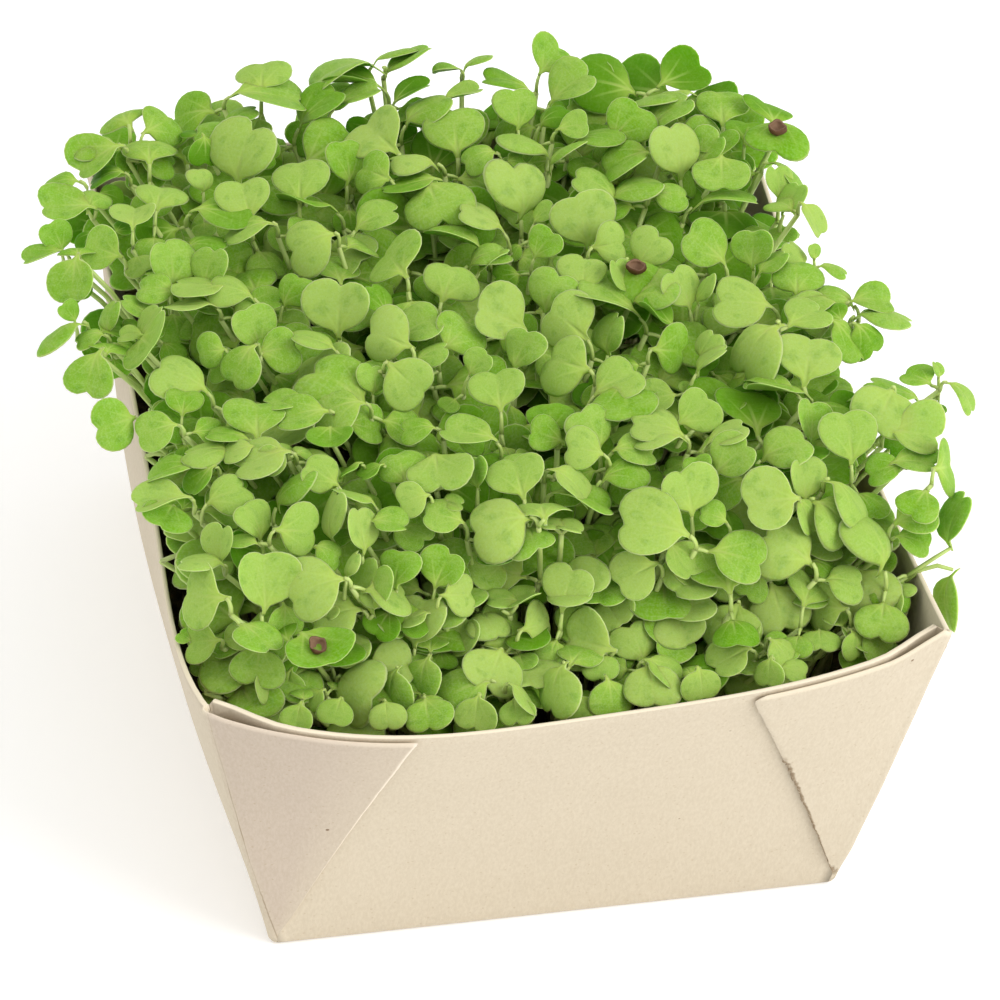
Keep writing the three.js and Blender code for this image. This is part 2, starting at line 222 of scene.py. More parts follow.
# Each leaf by its base, its tip and its width, in pixels of the square frame, and its tone, from 0,
# blue green, to 10, lime. Each tone was read off how light the leaf looks, so it holds painted shade as well
# as the leaf's own colour.
FRAME_PIXELS = 1000
BACK_LEAVES = (
    (127, 120, 118, 104, 52, 5), (150, 130, 172, 116, 44, 5), (150, 158, 148, 133, 50, 6),
    (112, 140, 70, 145, 30, 5), (115, 146, 74, 170, 38, 5), (120, 170, 88, 178, 20, 1),
    (75, 178, 42, 183, 28, 4), (88, 205, 40, 207, 30, 5), (90, 206, 95, 184, 38, 6),
    (158, 205, 162, 180, 50, 7), (134, 226, 134, 205, 46, 8), (232, 135, 197, 125, 28, 4),
    (226, 125, 252, 103, 20, 4), (262, 86, 262, 56, 50, 7), (240, 90, 305, 95, 34, 5),
    (205, 138, 205, 166, 30, 2), (236, 176, 250, 120, 62, 8), (205, 190, 203, 168, 20, 8),
    (250, 215, 240, 180, 52, 8), (300, 197, 300, 158, 56, 7), (372, 60, 305, 70, 10, 5),
    (376, 58, 413, 41, 10, 5), (387, 68, 430, 47, 20, 4), (458, 68, 432, 71, 6, 4),
    (464, 66, 489, 50, 9, 5), (375, 82, 324, 76, 20, 2), (300, 120, 335, 86, 30, 3),
    (338, 103, 380, 90, 24, 5), (395, 100, 430, 82, 24, 1), (408, 118, 445, 92, 32, 5),
    (447, 97, 482, 92, 18, 6), (457, 150, 452, 105, 62, 6), (392, 148, 362, 119, 64, 9),
    (432, 158, 388, 155, 20, 8), (350, 180, 345, 140, 30, 4), (386, 178, 356, 165, 44, 5),
    (432, 178, 380, 190, 26, 3), (428, 182, 442, 218, 65, 6), (330, 205, 277, 195, 12, 3),
    (358, 225, 395, 205, 38, 6), (500, 225, 462, 205, 22, 9), (492, 150, 461, 158, 24, 5),
    (525, 85, 483, 75, 15, 3), (543, 70, 560, 46, 44, 5), (552, 98, 590, 70, 34, 6),
    (520, 125, 515, 88, 40, 6), (548, 150, 505, 128, 10, 6), (540, 122, 563, 102, 20, 2),
    (560, 128, 588, 125, 25, 6), (578, 137, 622, 128, 16, 4), (548, 162, 577, 132, 12, 5),
    (615, 135, 642, 105, 50, 4), (650, 125, 688, 95, 34, 5), (690, 90, 629, 93, 8, 5),
    (722, 120, 720, 86, 54, 5), (745, 140, 750, 118, 46, 3), (682, 172, 670, 124, 54, 10),
    (645, 150, 600, 165, 28, 4), (615, 195, 576, 172, 22, 6), (612, 195, 655, 170, 26, 5),
    (655, 192, 688, 195, 30, 5), (722, 157, 722, 193, 54, 6), (700, 160, 722, 135, 30, 5),
    (700, 200, 757, 195, 10, 4), (525, 212, 521, 159, 52, 9), (588, 242, 578, 194, 60, 9),
    (535, 220, 553, 205, 15, 6), (780, 196, 775, 166, 28, 7), (783, 210, 800, 183, 24, 7),
    (806, 205, 822, 235, 26, 8), (775, 160, 811, 180, 5, 4),
)
MIDDLE_LEAVES = (
    (62, 248, 50, 222, 28, 4), (58, 250, 23, 262, 14, 4), (117, 255, 85, 243, 44, 6),
    (95, 232, 78, 250, 20, 1), (75, 260, 72, 302, 48, 5), (75, 320, 33, 344, 16, 4),
    (75, 320, 62, 304, 16, 4), (101, 332, 74, 336, 16, 5), (106, 330, 108, 300, 24, 5),
    (141, 334, 158, 305, 24, 7), (141, 334, 118, 335, 18, 7), (140, 337, 157, 352, 62, 6),
    (96, 354, 85, 396, 46, 5), (172, 290, 138, 285, 35, 5), (150, 315, 122, 298, 22, 5),
    (222, 285, 174, 287, 18, 7), (210, 303, 163, 305, 20, 8), (250, 293, 210, 283, 24, 7),
    (173, 282, 172, 240, 46, 6), (205, 282, 212, 247, 36, 6), (188, 245, 222, 232, 22, 3),
    (200, 208, 256, 215, 30, 3), (265, 220, 223, 238, 28, 6), (203, 385, 158, 363, 40, 8),
    (222, 350, 196, 352, 34, 5), (250, 347, 228, 382, 42, 5), (260, 345, 245, 308, 38, 6),
    (328, 232, 286, 250, 50, 8), (283, 302, 300, 275, 34, 4), (338, 330, 340, 280, 60, 9),
    (332, 345, 292, 335, 20, 7), (405, 345, 366, 328, 56, 10), (402, 335, 438, 312, 32, 6),
    (448, 345, 474, 318, 54, 5), (444, 296, 457, 260, 54, 7), (402, 272, 385, 250, 62, 6),
    (478, 243, 428, 225, 18, 5), (470, 260, 505, 245, 18, 5), (480, 268, 508, 250, 14, 5),
    (520, 325, 477, 307, 52, 9), (385, 310, 372, 284, 26, 3), (262, 352, 298, 345, 42, 5),
    (362, 398, 312, 362, 70, 5), (375, 392, 374, 364, 28, 6), (392, 366, 424, 396, 56, 8),
    (418, 358, 447, 345, 22, 6), (470, 372, 488, 353, 28, 6), (500, 405, 495, 370, 52, 7),
    (535, 255, 555, 232, 34, 4), (545, 308, 560, 271, 50, 6), (582, 335, 549, 306, 58, 8),
    (515, 365, 530, 330, 34, 6), (582, 368, 543, 356, 58, 7), (583, 286, 585, 255, 48, 8),
    (597, 247, 628, 242, 42, 8), (640, 262, 660, 232, 44, 8), (632, 297, 673, 272, 34, 6),
    (630, 290, 612, 262, 30, 7), (633, 308, 573, 288, 20, 6), (690, 304, 672, 270, 36, 8),
    (697, 300, 709, 273, 16, 7), (722, 258, 688, 230, 44, 5), (605, 350, 612, 312, 34, 6),
    (598, 390, 636, 368, 44, 7), (658, 350, 690, 351, 48, 4), (700, 355, 712, 330, 24, 7),
    (697, 368, 725, 345, 10, 8), (765, 303, 714, 301, 42, 8), (768, 325, 735, 374, 50, 8),
    (672, 325, 638, 305, 22, 2), (752, 264, 755, 230, 36, 5), (760, 270, 785, 250, 20, 5),
    (805, 262, 790, 240, 22, 8), (815, 258, 812, 244, 14, 6), (822, 264, 848, 269, 11, 5),
    (796, 290, 797, 258, 48, 5), (835, 298, 788, 295, 20, 6), (852, 300, 818, 285, 24, 5),
    (855, 298, 893, 300, 26, 5), (862, 310, 913, 312, 17, 6), (860, 325, 878, 352, 34, 3),
    (838, 322, 863, 360, 34, 4), (805, 378, 812, 336, 64, 9), (752, 368, 782, 348, 30, 4),
    (805, 390, 748, 372, 16, 4), (792, 390, 745, 385, 20, 5), (916, 396, 869, 377, 12, 4),
    (940, 376, 937, 361, 12, 6), (953, 382, 978, 407, 14, 6),
)
FRONT_LEAVES = (
    (131, 418, 95, 430, 52, 5), (172, 424, 137, 437, 38, 6), (183, 412, 186, 386, 38, 4),
    (225, 447, 182, 453, 26, 7), (190, 462, 144, 477, 28, 4), (210, 468, 190, 494, 26, 3),
    (182, 495, 136, 511, 28, 8), (172, 505, 161, 526, 48, 4), (210, 500, 246, 484, 44, 7),
    (258, 432, 255, 397, 58, 5), (282, 450, 235, 470, 36, 8), (250, 445, 221, 455, 24, 8),
    (220, 560, 222, 524, 34, 8), (262, 535, 246, 503, 28, 7), (220, 560, 180, 555, 18, 8),
    (245, 435, 207, 433, 16, 4), (282, 452, 262, 470, 32, 7), (322, 408, 277, 420, 40, 5),
    (358, 400, 312, 412, 36, 6), (300, 398, 265, 402, 24, 5), (330, 428, 331, 449, 44, 3),
    (335, 482, 304, 466, 38, 7), (275, 500, 300, 463, 22, 4), (358, 463, 338, 477, 8, 3),
    (380, 465, 361, 480, 10, 3), (372, 500, 334, 483, 10, 6), (405, 480, 396, 448, 46, 5),
    (434, 455, 441, 487, 64, 7), (425, 495, 398, 503, 34, 8), (432, 425, 400, 430, 18, 4),
    (490, 436, 442, 430, 28, 6), (475, 485, 476, 456, 22, 5), (522, 492, 512, 457, 56, 7),
    (522, 515, 470, 530, 62, 9), (460, 520, 424, 512, 34, 6), (375, 520, 408, 525, 26, 5),
    (365, 548, 357, 508, 30, 9), (328, 536, 333, 489, 28, 8), (282, 530, 318, 531, 50, 7),
    (318, 545, 343, 555, 24, 5), (395, 584, 400, 550, 36, 4), (436, 584, 451, 550, 46, 4),
    (345, 575, 353, 550, 16, 9), (550, 430, 550, 401, 44, 3), (560, 440, 530, 430, 34, 4),
    (600, 445, 585, 407, 36, 6), (600, 452, 565, 446, 42, 8), (624, 384, 628, 414, 66, 4),
    (680, 430, 632, 419, 34, 8), (678, 432, 632, 438, 8, 8), (618, 448, 656, 448, 28, 6),
    (605, 475, 645, 463, 28, 4), (558, 470, 597, 500, 28, 8), (562, 490, 613, 508, 18, 4),
    (543, 513, 540, 498, 50, 7), (568, 522, 538, 517, 10, 8), (556, 525, 583, 530, 14, 8),
    (682, 530, 620, 516, 70, 8), (692, 510, 683, 467, 54, 8), (700, 475, 695, 456, 28, 4),
    (682, 421, 712, 399, 48, 7), (710, 440, 745, 424, 24, 8), (718, 470, 750, 443, 46, 6),
    (725, 520, 701, 510, 26, 5), (672, 545, 690, 578, 36, 7), (728, 585, 720, 545, 64, 4),
    (792, 498, 744, 505, 60, 9), (806, 497, 800, 458, 40, 8), (765, 455, 807, 437, 46, 6),
    (812, 440, 812, 400, 28, 5), (853, 458, 845, 411, 56, 7), (893, 390, 874, 432, 66, 9),
    (895, 430, 941, 438, 46, 8), (896, 460, 938, 465, 22, 6), (900, 465, 866, 471, 30, 4),
    (939, 468, 952, 466, 56, 5), (947, 540, 957, 492, 22, 5), (898, 520, 936, 508, 38, 5),
    (900, 535, 931, 545, 22, 4), (888, 562, 870, 509, 46, 7), (822, 500, 854, 533, 40, 7),
    (838, 480, 870, 518, 20, 7), (800, 500, 815, 532, 24, 7), (808, 558, 764, 532, 62, 9),
    (815, 560, 845, 572, 24, 4),
)
RIM_LEAVES = (
    (218, 597, 181, 594, 64, 6), (216, 640, 189, 642, 42, 5), (223, 672, 193, 673, 40, 4),
    (225, 640, 252, 630, 28, 6), (250, 640, 256, 673, 58, 6), (237, 678, 237, 693, 30, 3),
    (190, 640, 179, 632, 14, 3), (262, 670, 272, 704, 18, 8), (265, 605, 262, 552, 54, 6),
    (336, 578, 286, 598, 60, 8), (354, 608, 308, 620, 44, 7), (340, 632, 338, 669, 58, 6),
    (325, 660, 298, 646, 40, 5), (285, 607, 284, 637, 32, 4), (338, 676, 362, 692, 66, 7),
    (340, 700, 332, 724, 36, 5), (372, 668, 412, 660, 46, 9), (392, 672, 385, 714, 36, 4),
    (385, 702, 388, 727, 36, 7), (425, 660, 418, 698, 38, 4), (413, 641, 424, 596, 48, 8),
    (370, 608, 375, 561, 44, 5), (375, 610, 405, 632, 16, 4), (447, 595, 474, 594, 42, 9),
    (450, 655, 468, 615, 42, 6), (500, 652, 486, 689, 58, 9), (484, 680, 441, 699, 48, 4),
    (425, 700, 430, 731, 46, 4), (425, 696, 430, 717, 32, 4), (478, 700, 475, 733, 38, 6),
    (490, 642, 521, 618, 58, 5), (515, 600, 486, 598, 18, 5), (290, 672, 285, 700, 34, 4),
    (300, 705, 295, 730, 32, 5), (320, 690, 308, 709, 20, 5), (438, 620, 440, 593, 16, 3),
    (563, 606, 573, 566, 52, 7), (652, 565, 616, 585, 50, 7), (528, 628, 553, 621, 46, 8),
    (505, 605, 540, 595, 18, 5), (606, 648, 566, 637, 64, 7), (600, 655, 600, 680, 36, 5),
    (605, 600, 620, 625, 48, 6), (643, 658, 630, 623, 42, 6), (678, 613, 684, 643, 52, 8),
    (678, 612, 642, 616, 6, 7), (670, 612, 713, 600, 34, 7), (650, 668, 655, 704, 56, 7),
    (650, 660, 680, 680, 24, 5), (610, 683, 612, 719, 36, 4), (580, 700, 582, 723, 30, 5),
    (558, 668, 548, 715, 40, 6), (515, 685, 536, 714, 16, 7), (700, 672, 705, 702, 36, 6),
    (745, 650, 711, 668, 40, 6), (738, 606, 728, 648, 58, 6), (520, 655, 525, 672, 32, 4),
    (760, 575, 745, 597, 36, 4), (515, 704, 518, 727, 36, 5), (773, 588, 786, 632, 60, 8),
    (805, 600, 815, 573, 50, 5), (838, 608, 808, 605, 52, 6), (857, 572, 871, 615, 62, 8),
    (895, 590, 880, 628, 30, 7), (910, 586, 918, 618, 52, 6), (946, 577, 941, 631, 22, 4),
    (820, 630, 820, 650, 36, 5), (855, 632, 862, 658, 24, 5), (775, 640, 792, 669, 26, 6),
    (783, 668, 808, 675, 18, 6), (770, 660, 768, 687, 26, 5), (912, 588, 932, 580, 14, 6),
)
# The leaves at the rim get a lighter tone than their shaded faces show: painted light over the shade the
# walls cast on them.
RIM_PAINTED_LIGHT = 1.5
STANDOUT_LEAVES = (BACK_LEAVES + MIDDLE_LEAVES + FRONT_LEAVES
                   + tuple((*seen[:5], seen[5] + RIM_PAINTED_LIGHT) for seen in RIM_LEAVES))


# ---- Small helpers ----

def lerp(low, high, share):
    return low + (high - low) * share


def smooth(value):
    share = np.clip(value, 0, 1)
    return share * share * (3 - 2 * share)


def arch(value):
    return 1 - value * value


def unit(vector):
    return vector / np.linalg.norm(vector)


def across_to(direction, normal):
    """The part of normal that is square to direction, at unit length."""
    return unit(normal - direction * normal.dot(direction))


def chance(number):
    """A repeatable value from 0 to 1 for each whole number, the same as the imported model's."""
    wave = math.sin(number * 12.9898 + 2.1) * 43758.5453
    return wave - math.floor(wave)


class Part:
    """Gathers the vertices, faces and per-vertex values of one piece."""

    def __init__(self, *value_names):
        self.points = []
        self.faces = []
        self.slots = []
        self.values = {name: [] for name in value_names}
        self.count = 0

    def add(self, points, faces, slot=0, **values):
        points = np.asarray(points, float)
        self.points.append(points)
        for face in faces:
            self.faces.append([corner + self.count for corner in face])
        self.slots.extend([slot] * len(faces))
        for name, held in self.values.items():
            held.append(np.broadcast_to(np.asarray(values.get(name, 0.0), float), (len(points),)))
        self.count += len(points)

    def build(self, name, *materials):
        mesh = bpy.data.meshes.new(name)
        mesh.from_pydata(np.concatenate(self.points).tolist(), [], self.faces)
        mesh.polygons.foreach_set("material_index", self.slots)
        mesh.polygons.foreach_set("use_smooth", [True] * len(self.faces))
        for value_name, held in self.values.items():
            attribute = mesh.attributes.new(value_name, "FLOAT", "POINT")
            attribute.data.foreach_set("value", np.concatenate(held).astype(np.float32))
        for material in materials:
            mesh.materials.append(material)
        mesh.update()
        piece = bpy.data.objects.new(name, mesh)
        bpy.context.scene.collection.objects.link(piece)
        return piece


def grid_faces(rows, columns, closed=False, flip=False):
    """Faces of a grid of rows x columns points, numbered along each row."""
    faces = []
    for row in range(rows - 1):
        for column in range(columns if closed else columns - 1):
            after = (column + 1) % columns
            face = [row * columns + column, row * columns + after,
                    (row + 1) * columns + after, (row + 1) * columns + column]
            faces.append(face[::-1] if flip else face)
    return faces


# ---- Material nodes ----

class Finish:
    """Builds the node tree of one material."""

    def __init__(self, name):
        self.material = bpy.data.materials.new(name)
        self.material.use_nodes = True
        self.tree = self.material.node_tree
        self.tree.nodes.clear()
        output = self.tree.nodes.new("ShaderNodeOutputMaterial")
        self.surface = self.tree.nodes.new("ShaderNodeBsdfPrincipled")
        self.tree.links.new(self.surface.outputs["BSDF"], output.inputs["Surface"])

    def put(self, value, socket):
        if isinstance(value, bpy.types.NodeSocket):
            self.tree.links.new(value, socket)
        elif hasattr(value, "__len__") and len(value) == 3 and len(socket.default_value) == 4:
            socket.default_value = (*value, 1)
        else:
            socket.default_value = value

    def node(self, kind, **inputs):
        node = self.tree.nodes.new("ShaderNode" + kind)
        for name, value in inputs.items():
            self.put(value, node.inputs[name.replace("_", " ")])
        return node

    def place(self):
        return self.node("TexCoord").outputs["Object"]

    def value(self, name):
        node = self.node("Attribute")
        node.attribute_name = name
        return node.outputs["Fac"]

    def stretch(self, place, scale):
        return self.node("Mapping", Vector=place, Scale=scale).outputs["Vector"]

    def noise(self, place, scale, detail=3.0, roughness=0.5):
        node = self.node("TexNoise", Vector=place, Scale=scale, Detail=detail, Roughness=roughness)
        return node.outputs["Fac"]

    def cells(self, place, scale):
        return self.node("TexVoronoi", Vector=place, Scale=scale).outputs["Distance"]

    def maths(self, operation, first, second=0.0):
        node = self.tree.nodes.new("ShaderNodeMath")
        node.operation = operation
        self.put(first, node.inputs[0])
        self.put(second, node.inputs[1])
        return node.outputs[0]

    def times(self, first, second):
        return self.maths("MULTIPLY", first, second)

    def between(self, value, low, high, to_low=0.0, to_high=1.0):
        """A smooth step of value from low to high, which gives to_low to to_high."""
        node = self.tree.nodes.new("ShaderNodeMapRange")
        node.interpolation_type = "SMOOTHSTEP"
        for index, held in enumerate((value, low, high, to_low, to_high)):
            self.put(held, node.inputs[index])
        return node.outputs[0]

    def mix(self, share, first, second, blend="MIX"):
        node = self.tree.nodes.new("ShaderNodeMix")
        node.data_type = "RGBA"
        node.blend_type = blend
        self.put(share, node.inputs["Factor"])
        self.put(first, node.inputs[6])
        self.put(second, node.inputs[7])
        return node.outputs[2]

    def relief(self, height, strength, distance):
        return self.node("Bump", Height=height, Strength=strength, Distance=distance).outputs["Normal"]

    def set(self, **inputs):
        for name, value in inputs.items():
            self.put(value, self.surface.inputs[name.replace("_", " ")])


# Darker and lighter tints that go over a piece's own colours.
DARK_FIBRE = (0.45, 0.35, 0.24)
LIGHT_FIBRE = (0.95, 0.88, 0.74)
BARK_DUST = (0.42, 0.32, 0.20)
FOLD_HIGHLIGHT = (0.86, 0.77, 0.62)
STRAW = (0.24, 0.17, 0.10)
PALE_MOTTLE = (0.40, 0.55, 0.22)
LEAF_PORE = (0.07, 0.16, 0.01)
LEAF_BASE = (0.39, 0.52, 0.09)
MIDRIB = (0.42, 0.55, 0.14)
SIDE_RIB = (0.41, 0.55, 0.13)
LEAF_VEIN = (0.40, 0.54, 0.14)
MARGIN_HIGHLIGHT = (0.55, 0.70, 0.26)
UNDERSIDE = (0.27, 0.41, 0.07)
GREEN_STEM = (0.25, 0.38, 0.06)
STEM_STREAK = (0.50, 0.60, 0.22)
HULL_BLOTCH = (0.13, 0.062, 0.03)
SPLIT_HULL = (0.28, 0.17, 0.10)


def board_finish(tray):
    """Unbleached board: cloudy cream with fibre grain, bark specks, pale cut edges and a torn core; a
    painted highlight on the web folds and painted shade on the front left web.
    """
    finish = Finish("unbleached board")
    place = finish.place()
    clouds = finish.noise(place, 55.0, 4.0, 0.6)
    fibre_place = finish.stretch(place, (1.0, 1.0, 0.35))
    fibres = finish.noise(fibre_place, 2600.0, 4.0, 0.7)
    warm = finish.mix(clouds, tray.board_colour, tuple(shade * 0.93 for shade in tray.board_colour))
    grain = finish.between(fibres, 0.3, 0.72)
    cream = finish.mix(0.11, warm, finish.mix(grain, DARK_FIBRE, LIGHT_FIBRE))
    specks = finish.between(finish.cells(place, 240.0), 0.045, 0.075, 1.0, 0.0)
    patches = finish.between(finish.noise(place, 90.0, 2.0), 0.56, 0.62)
    specked = finish.mix(finish.times(specks, patches), cream, tray.fleck_colour)
    dust = finish.between(finish.cells(place, 800.0), 0.10, 0.16, 0.35, 0.0)
    dusted = finish.mix(dust, specked, BARK_DUST)
    edged = finish.mix(finish.value("cut_edge"), dusted, tray.edge_colour)
    # Painted highlight: a pale line along each web's rounded fold, faint on the torn web.
    scored = finish.mix(finish.value("crease"), edged, FOLD_HIGHLIGHT)
    ragged = finish.noise(place, 2200.0, 4.0, 0.7)
    torn = finish.times(finish.value("torn"), finish.between(ragged, 0.34, 0.5, 0.1, 0.9))
    # Painted shade on the front left web, multiplied in where its weathered value is set.
    painted_shade_board = finish.mix(finish.value("weathered"), scored, tray.painted_shade_tint, "MULTIPLY")
    broken = finish.between(finish.noise(place, 70.0, 2.0), 0.4, 0.6, 0.2, 0.7)
    beside = finish.maths("ABSOLUTE", finish.maths("SUBTRACT", finish.value("turned"), SCORE_TURN))
    line = finish.times(finish.between(beside, 0.02, 0.07, 1.0, 0.0), broken)
    lined = finish.mix(line, painted_shade_board, tray.torn_colour)
    colour = finish.mix(torn, lined, tray.torn_colour)
    rough = finish.between(clouds, 0.3, 0.7, 0.78, 0.9)
    height = finish.maths("ADD", finish.times(fibres, 0.6), finish.times(ragged, torn))
    finish.set(Base_Color=colour, Roughness=rough, Specular_IOR_Level=0.25,
               Normal=finish.relief(height, 0.35, 0.12 * MM))
    return finish.material


def compost_finish(compost):
    """Damp peat: near black with brown crumbs and pale dry fibres."""
    finish = Finish("damp compost")
    place = finish.place()
    crumbs = finish.noise(place, 420.0, 6.0, 0.7)
    fibre_place = finish.stretch(place, (1.0, 0.12, 1.0))
    fibres = finish.between(finish.noise(fibre_place, 1500.0, 3.0), 0.63, 0.7)
    brown = finish.mix(finish.between(crumbs, 0.35, 0.75), compost.dark_colour, compost.light_colour)
    colour = finish.mix(finish.times(fibres, 0.5), brown, STRAW)
    rough = finish.between(crumbs, 0.3, 0.7, 0.7, 0.95)
    height = finish.maths("ADD", crumbs, finish.times(finish.cells(place, 900.0), 0.5))
    finish.set(Base_Color=colour, Roughness=rough, Normal=finish.relief(height, 0.9, 0.6 * MM))
    return finish.material


def leaf_finish(seedlings):
    """A seed leaf: waxy, pale at the base and midrib, finely mottled, and with a painted highlight along its
    margin.
    """
    finish = Finish("seed leaf")
    tone = finish.value("tone")
    along = finish.value("along")
    across = finish.value("across")
    margin = finish.value("margin")
    under = finish.value("under")
    own = finish.node("CombineXYZ", X=finish.times(along, 8.3),
                      Y=finish.times(across, 8.3),
                      Z=finish.times(tone, 61.0)).outputs[0]
    older = finish.mix(finish.between(tone, 0.0, 0.5), seedlings.blue_colour, seedlings.green_colour)
    blade = finish.mix(finish.between(tone, 0.28, 1.0), older, seedlings.lime_colour)
    young = finish.between(tone, 0.15, 0.5, 0.2, 1.0)
    clouds = finish.between(finish.noise(own, 0.28, 3.0, 0.55), 0.35, 0.7, 0.0, 0.4)
    blade = finish.mix(finish.times(clouds, young), blade, seedlings.lime_colour)
    darker = finish.between(finish.noise(own, 0.45, 2.0, 0.5), 0.5, 0.75, 0.0, 0.35)
    blade = finish.mix(darker, blade, seedlings.blue_colour)
    mottle = finish.noise(own, 2.6, 4.0, 0.65)
    pale = finish.times(finish.between(mottle, 0.4, 0.68, 0.0, 0.3), young)
    blade = finish.mix(pale, blade, PALE_MOTTLE)
    pores = finish.between(finish.cells(own, 3.4), 0.0, 0.3, 0.3, 0.0)
    blade = finish.mix(pores, blade, LEAF_PORE)
    offset = finish.maths("ABSOLUTE", across)
    base = finish.between(along, 0.0, 0.4, 0.6, 0.0)
    blade = finish.mix(finish.times(base, finish.between(offset, 0.0, 0.5, 1.0, 0.25)), blade, LEAF_BASE)
    rib_reach = finish.between(along, 0.1, 0.8, 0.6, 0.0)
    rib = finish.times(finish.between(offset, 0.012, 0.05, 1.0, 0.0), rib_reach)
    blade = finish.mix(rib, blade, MIDRIB)
    beside = finish.maths("ABSOLUTE", finish.maths("SUBTRACT", offset, finish.times(along, 0.62)))
    side_ribs = finish.times(finish.between(beside, 0.01, 0.04, 0.7, 0.0), rib_reach)
    blade = finish.mix(side_ribs, blade, SIDE_RIB)
    side_veins = finish.node("TexWave", Vector=own, Scale=0.28, Distortion=5.0, Detail=2.0)
    veins = finish.times(finish.between(side_veins.outputs["Fac"], 0.9, 1.0, 0.0, 0.16), young)
    blade = finish.mix(veins, blade, LEAF_VEIN)
    # Painted highlight: a pale line along each blade's margin.
    rim = finish.times(finish.between(margin, 0.955, 0.99, 0.0, 0.9),
                       finish.maths("MAXIMUM", young, 0.5))
    blade = finish.mix(rim, blade, MARGIN_HIGHLIGHT)
    colour = finish.mix(finish.times(under, 0.55), blade, UNDERSIDE)
    height = finish.maths("SUBTRACT", finish.times(mottle, 0.5), finish.times(rib, 1.5))
    rough = finish.between(mottle, 0.3, 0.7, 0.42, 0.58)
    finish.set(Base_Color=colour, Roughness=rough, Specular_IOR_Level=0.03,
               Normal=finish.relief(height, 0.35, 0.12 * MM))
    finish.set(Subsurface_Weight=0.3, Subsurface_Radius=(0.5, 1.0, 0.18), Subsurface_Scale=1.2 * MM)
    return finish.material


def stem_finish(seedlings):
    """A stem: pale straw at its foot and green at the crown, with fine streaks along it."""
    finish = Finish("seedling stem")
    level = finish.value("along")
    tone = finish.value("tone")
    streaks = finish.noise(finish.stretch(finish.place(), (1.0, 1.0, 0.08)), 1800.0, 3.0)
    pale = finish.mix(finish.between(level, 0.0, 0.75), seedlings.foot_colour, seedlings.stem_colour)
    green = finish.mix(finish.between(tone, 0.2, 1.0, 0.3, 0.0), pale, GREEN_STEM)
    colour = finish.mix(finish.between(streaks, 0.35, 0.7, 0.0, 0.3), green, STEM_STREAK)
    rough = finish.between(streaks, 0.3, 0.7, 0.36, 0.52)
    finish.set(Base_Color=colour, Roughness=rough, Normal=finish.relief(streaks, 0.2, 0.1 * MM))
    finish.set(Subsurface_Weight=0.25, Subsurface_Radius=(0.7, 1.0, 0.3), Subsurface_Scale=MM)
    return finish.material


def hull_finish(hulls):
    """A dry seed hull: brown, wrinkled and paler where it has split."""
    finish = Finish("seed hull")
    place = finish.place()
    wrinkles = finish.noise(place, 1600.0, 5.0, 0.7)
    blotches = finish.noise(place, 500.0, 3.0)
    brown = finish.mix(finish.between(blotches, 0.35, 0.65), hulls.colour, HULL_BLOTCH)
    colour = finish.mix(finish.times(finish.value("split"), 0.8), brown, SPLIT_HULL)
    rough = finish.between(wrinkles, 0.3, 0.7, 0.5, 0.75)
    finish.set(Base_Color=colour, Roughness=rough, Specular_IOR_Level=0.2,
               Normal=finish.relief(wrinkles, 0.6, 0.2 * MM))
    return finish.material


# ---- The tray's shape ----

# Place and reach of the rim's two bulges, as shares of half the wall they are on.
FRONT_BULGE = (-0.54, 0.5)
LEFT_BULGE = (-0.9, 0.6)
FOOT_CORNER = 1.3 * MM
RIM_CORNER = 0.45 * MM


def bulge_at(place, middle, reach):
    """A soft bump along a wall that fades out at its ends."""
    return np.exp(-((place - middle) / reach) ** 2) * (1 - place ** 8)


class TrayShape:
    """The tray's walls. across and along run from -1 to 1, and level from 0 at the base to 1 at the rim."""

    def __init__(self, tray):
        self.tray = tray

    def half_width(self, along, level, side=1):
        """side is below 0 at the left wall, whose rim bulges near the front corner."""
        tray = self.tray
        swell = tray.side_swell * arch(along) * (1 + tray.swell_to_back * along) * np.sin(np.pi * level)
        bulge = tray.left_bulge * bulge_at(along, *LEFT_BULGE) * level * (side < 0)
        return lerp(tray.base_width, tray.rim_width, level) / 2 + swell + bulge

    def half_length(self, across, level, end=1):
        """end is below 0 at the front wall, whose rim bulges near its left corner."""
        tray = self.tray
        bow = tray.end_bow * (1 - np.abs(across) ** tray.end_squareness) * level ** 2
        bulge = tray.front_bulge * bulge_at(across, *FRONT_BULGE) * level ** 2 * (end < 0)
        return lerp(tray.base_length, tray.rim_length, level) / 2 + bow + bulge

    def rim_height(self, across, along):
        tray = self.tray
        at_end = tray.end_dip * arch(across) * along ** 4
        at_side = tray.side_dip * arch(along) * across ** 4
        return tray.height - at_end - at_side

    def corner_radius(self, level):
        """The corners are round at the base and sharpen on the way up."""
        return lerp(FOOT_CORNER, RIM_CORNER, min(1.0, level / 0.4))


# The room that low leaves and crowns keep from the front wall, from a side wall, and besides from a side
# wall at its front end, which turns in there.
FRONT_ROOM = 1.4 * MM
SIDE_ROOM = 1.0 * MM
FRONT_END_ROOM = 1.6 * MM
CROWN_ROOM = 1.2 * MM
# What is lower than this, as a share of the rim's height, counts as under the rim.
RIM_TOP = 1.02
CROWN_TOP = 1.05
# Only the leaves past this share of the bed's front half are kept off the walls one by one.
FRONT_PART = 0.65


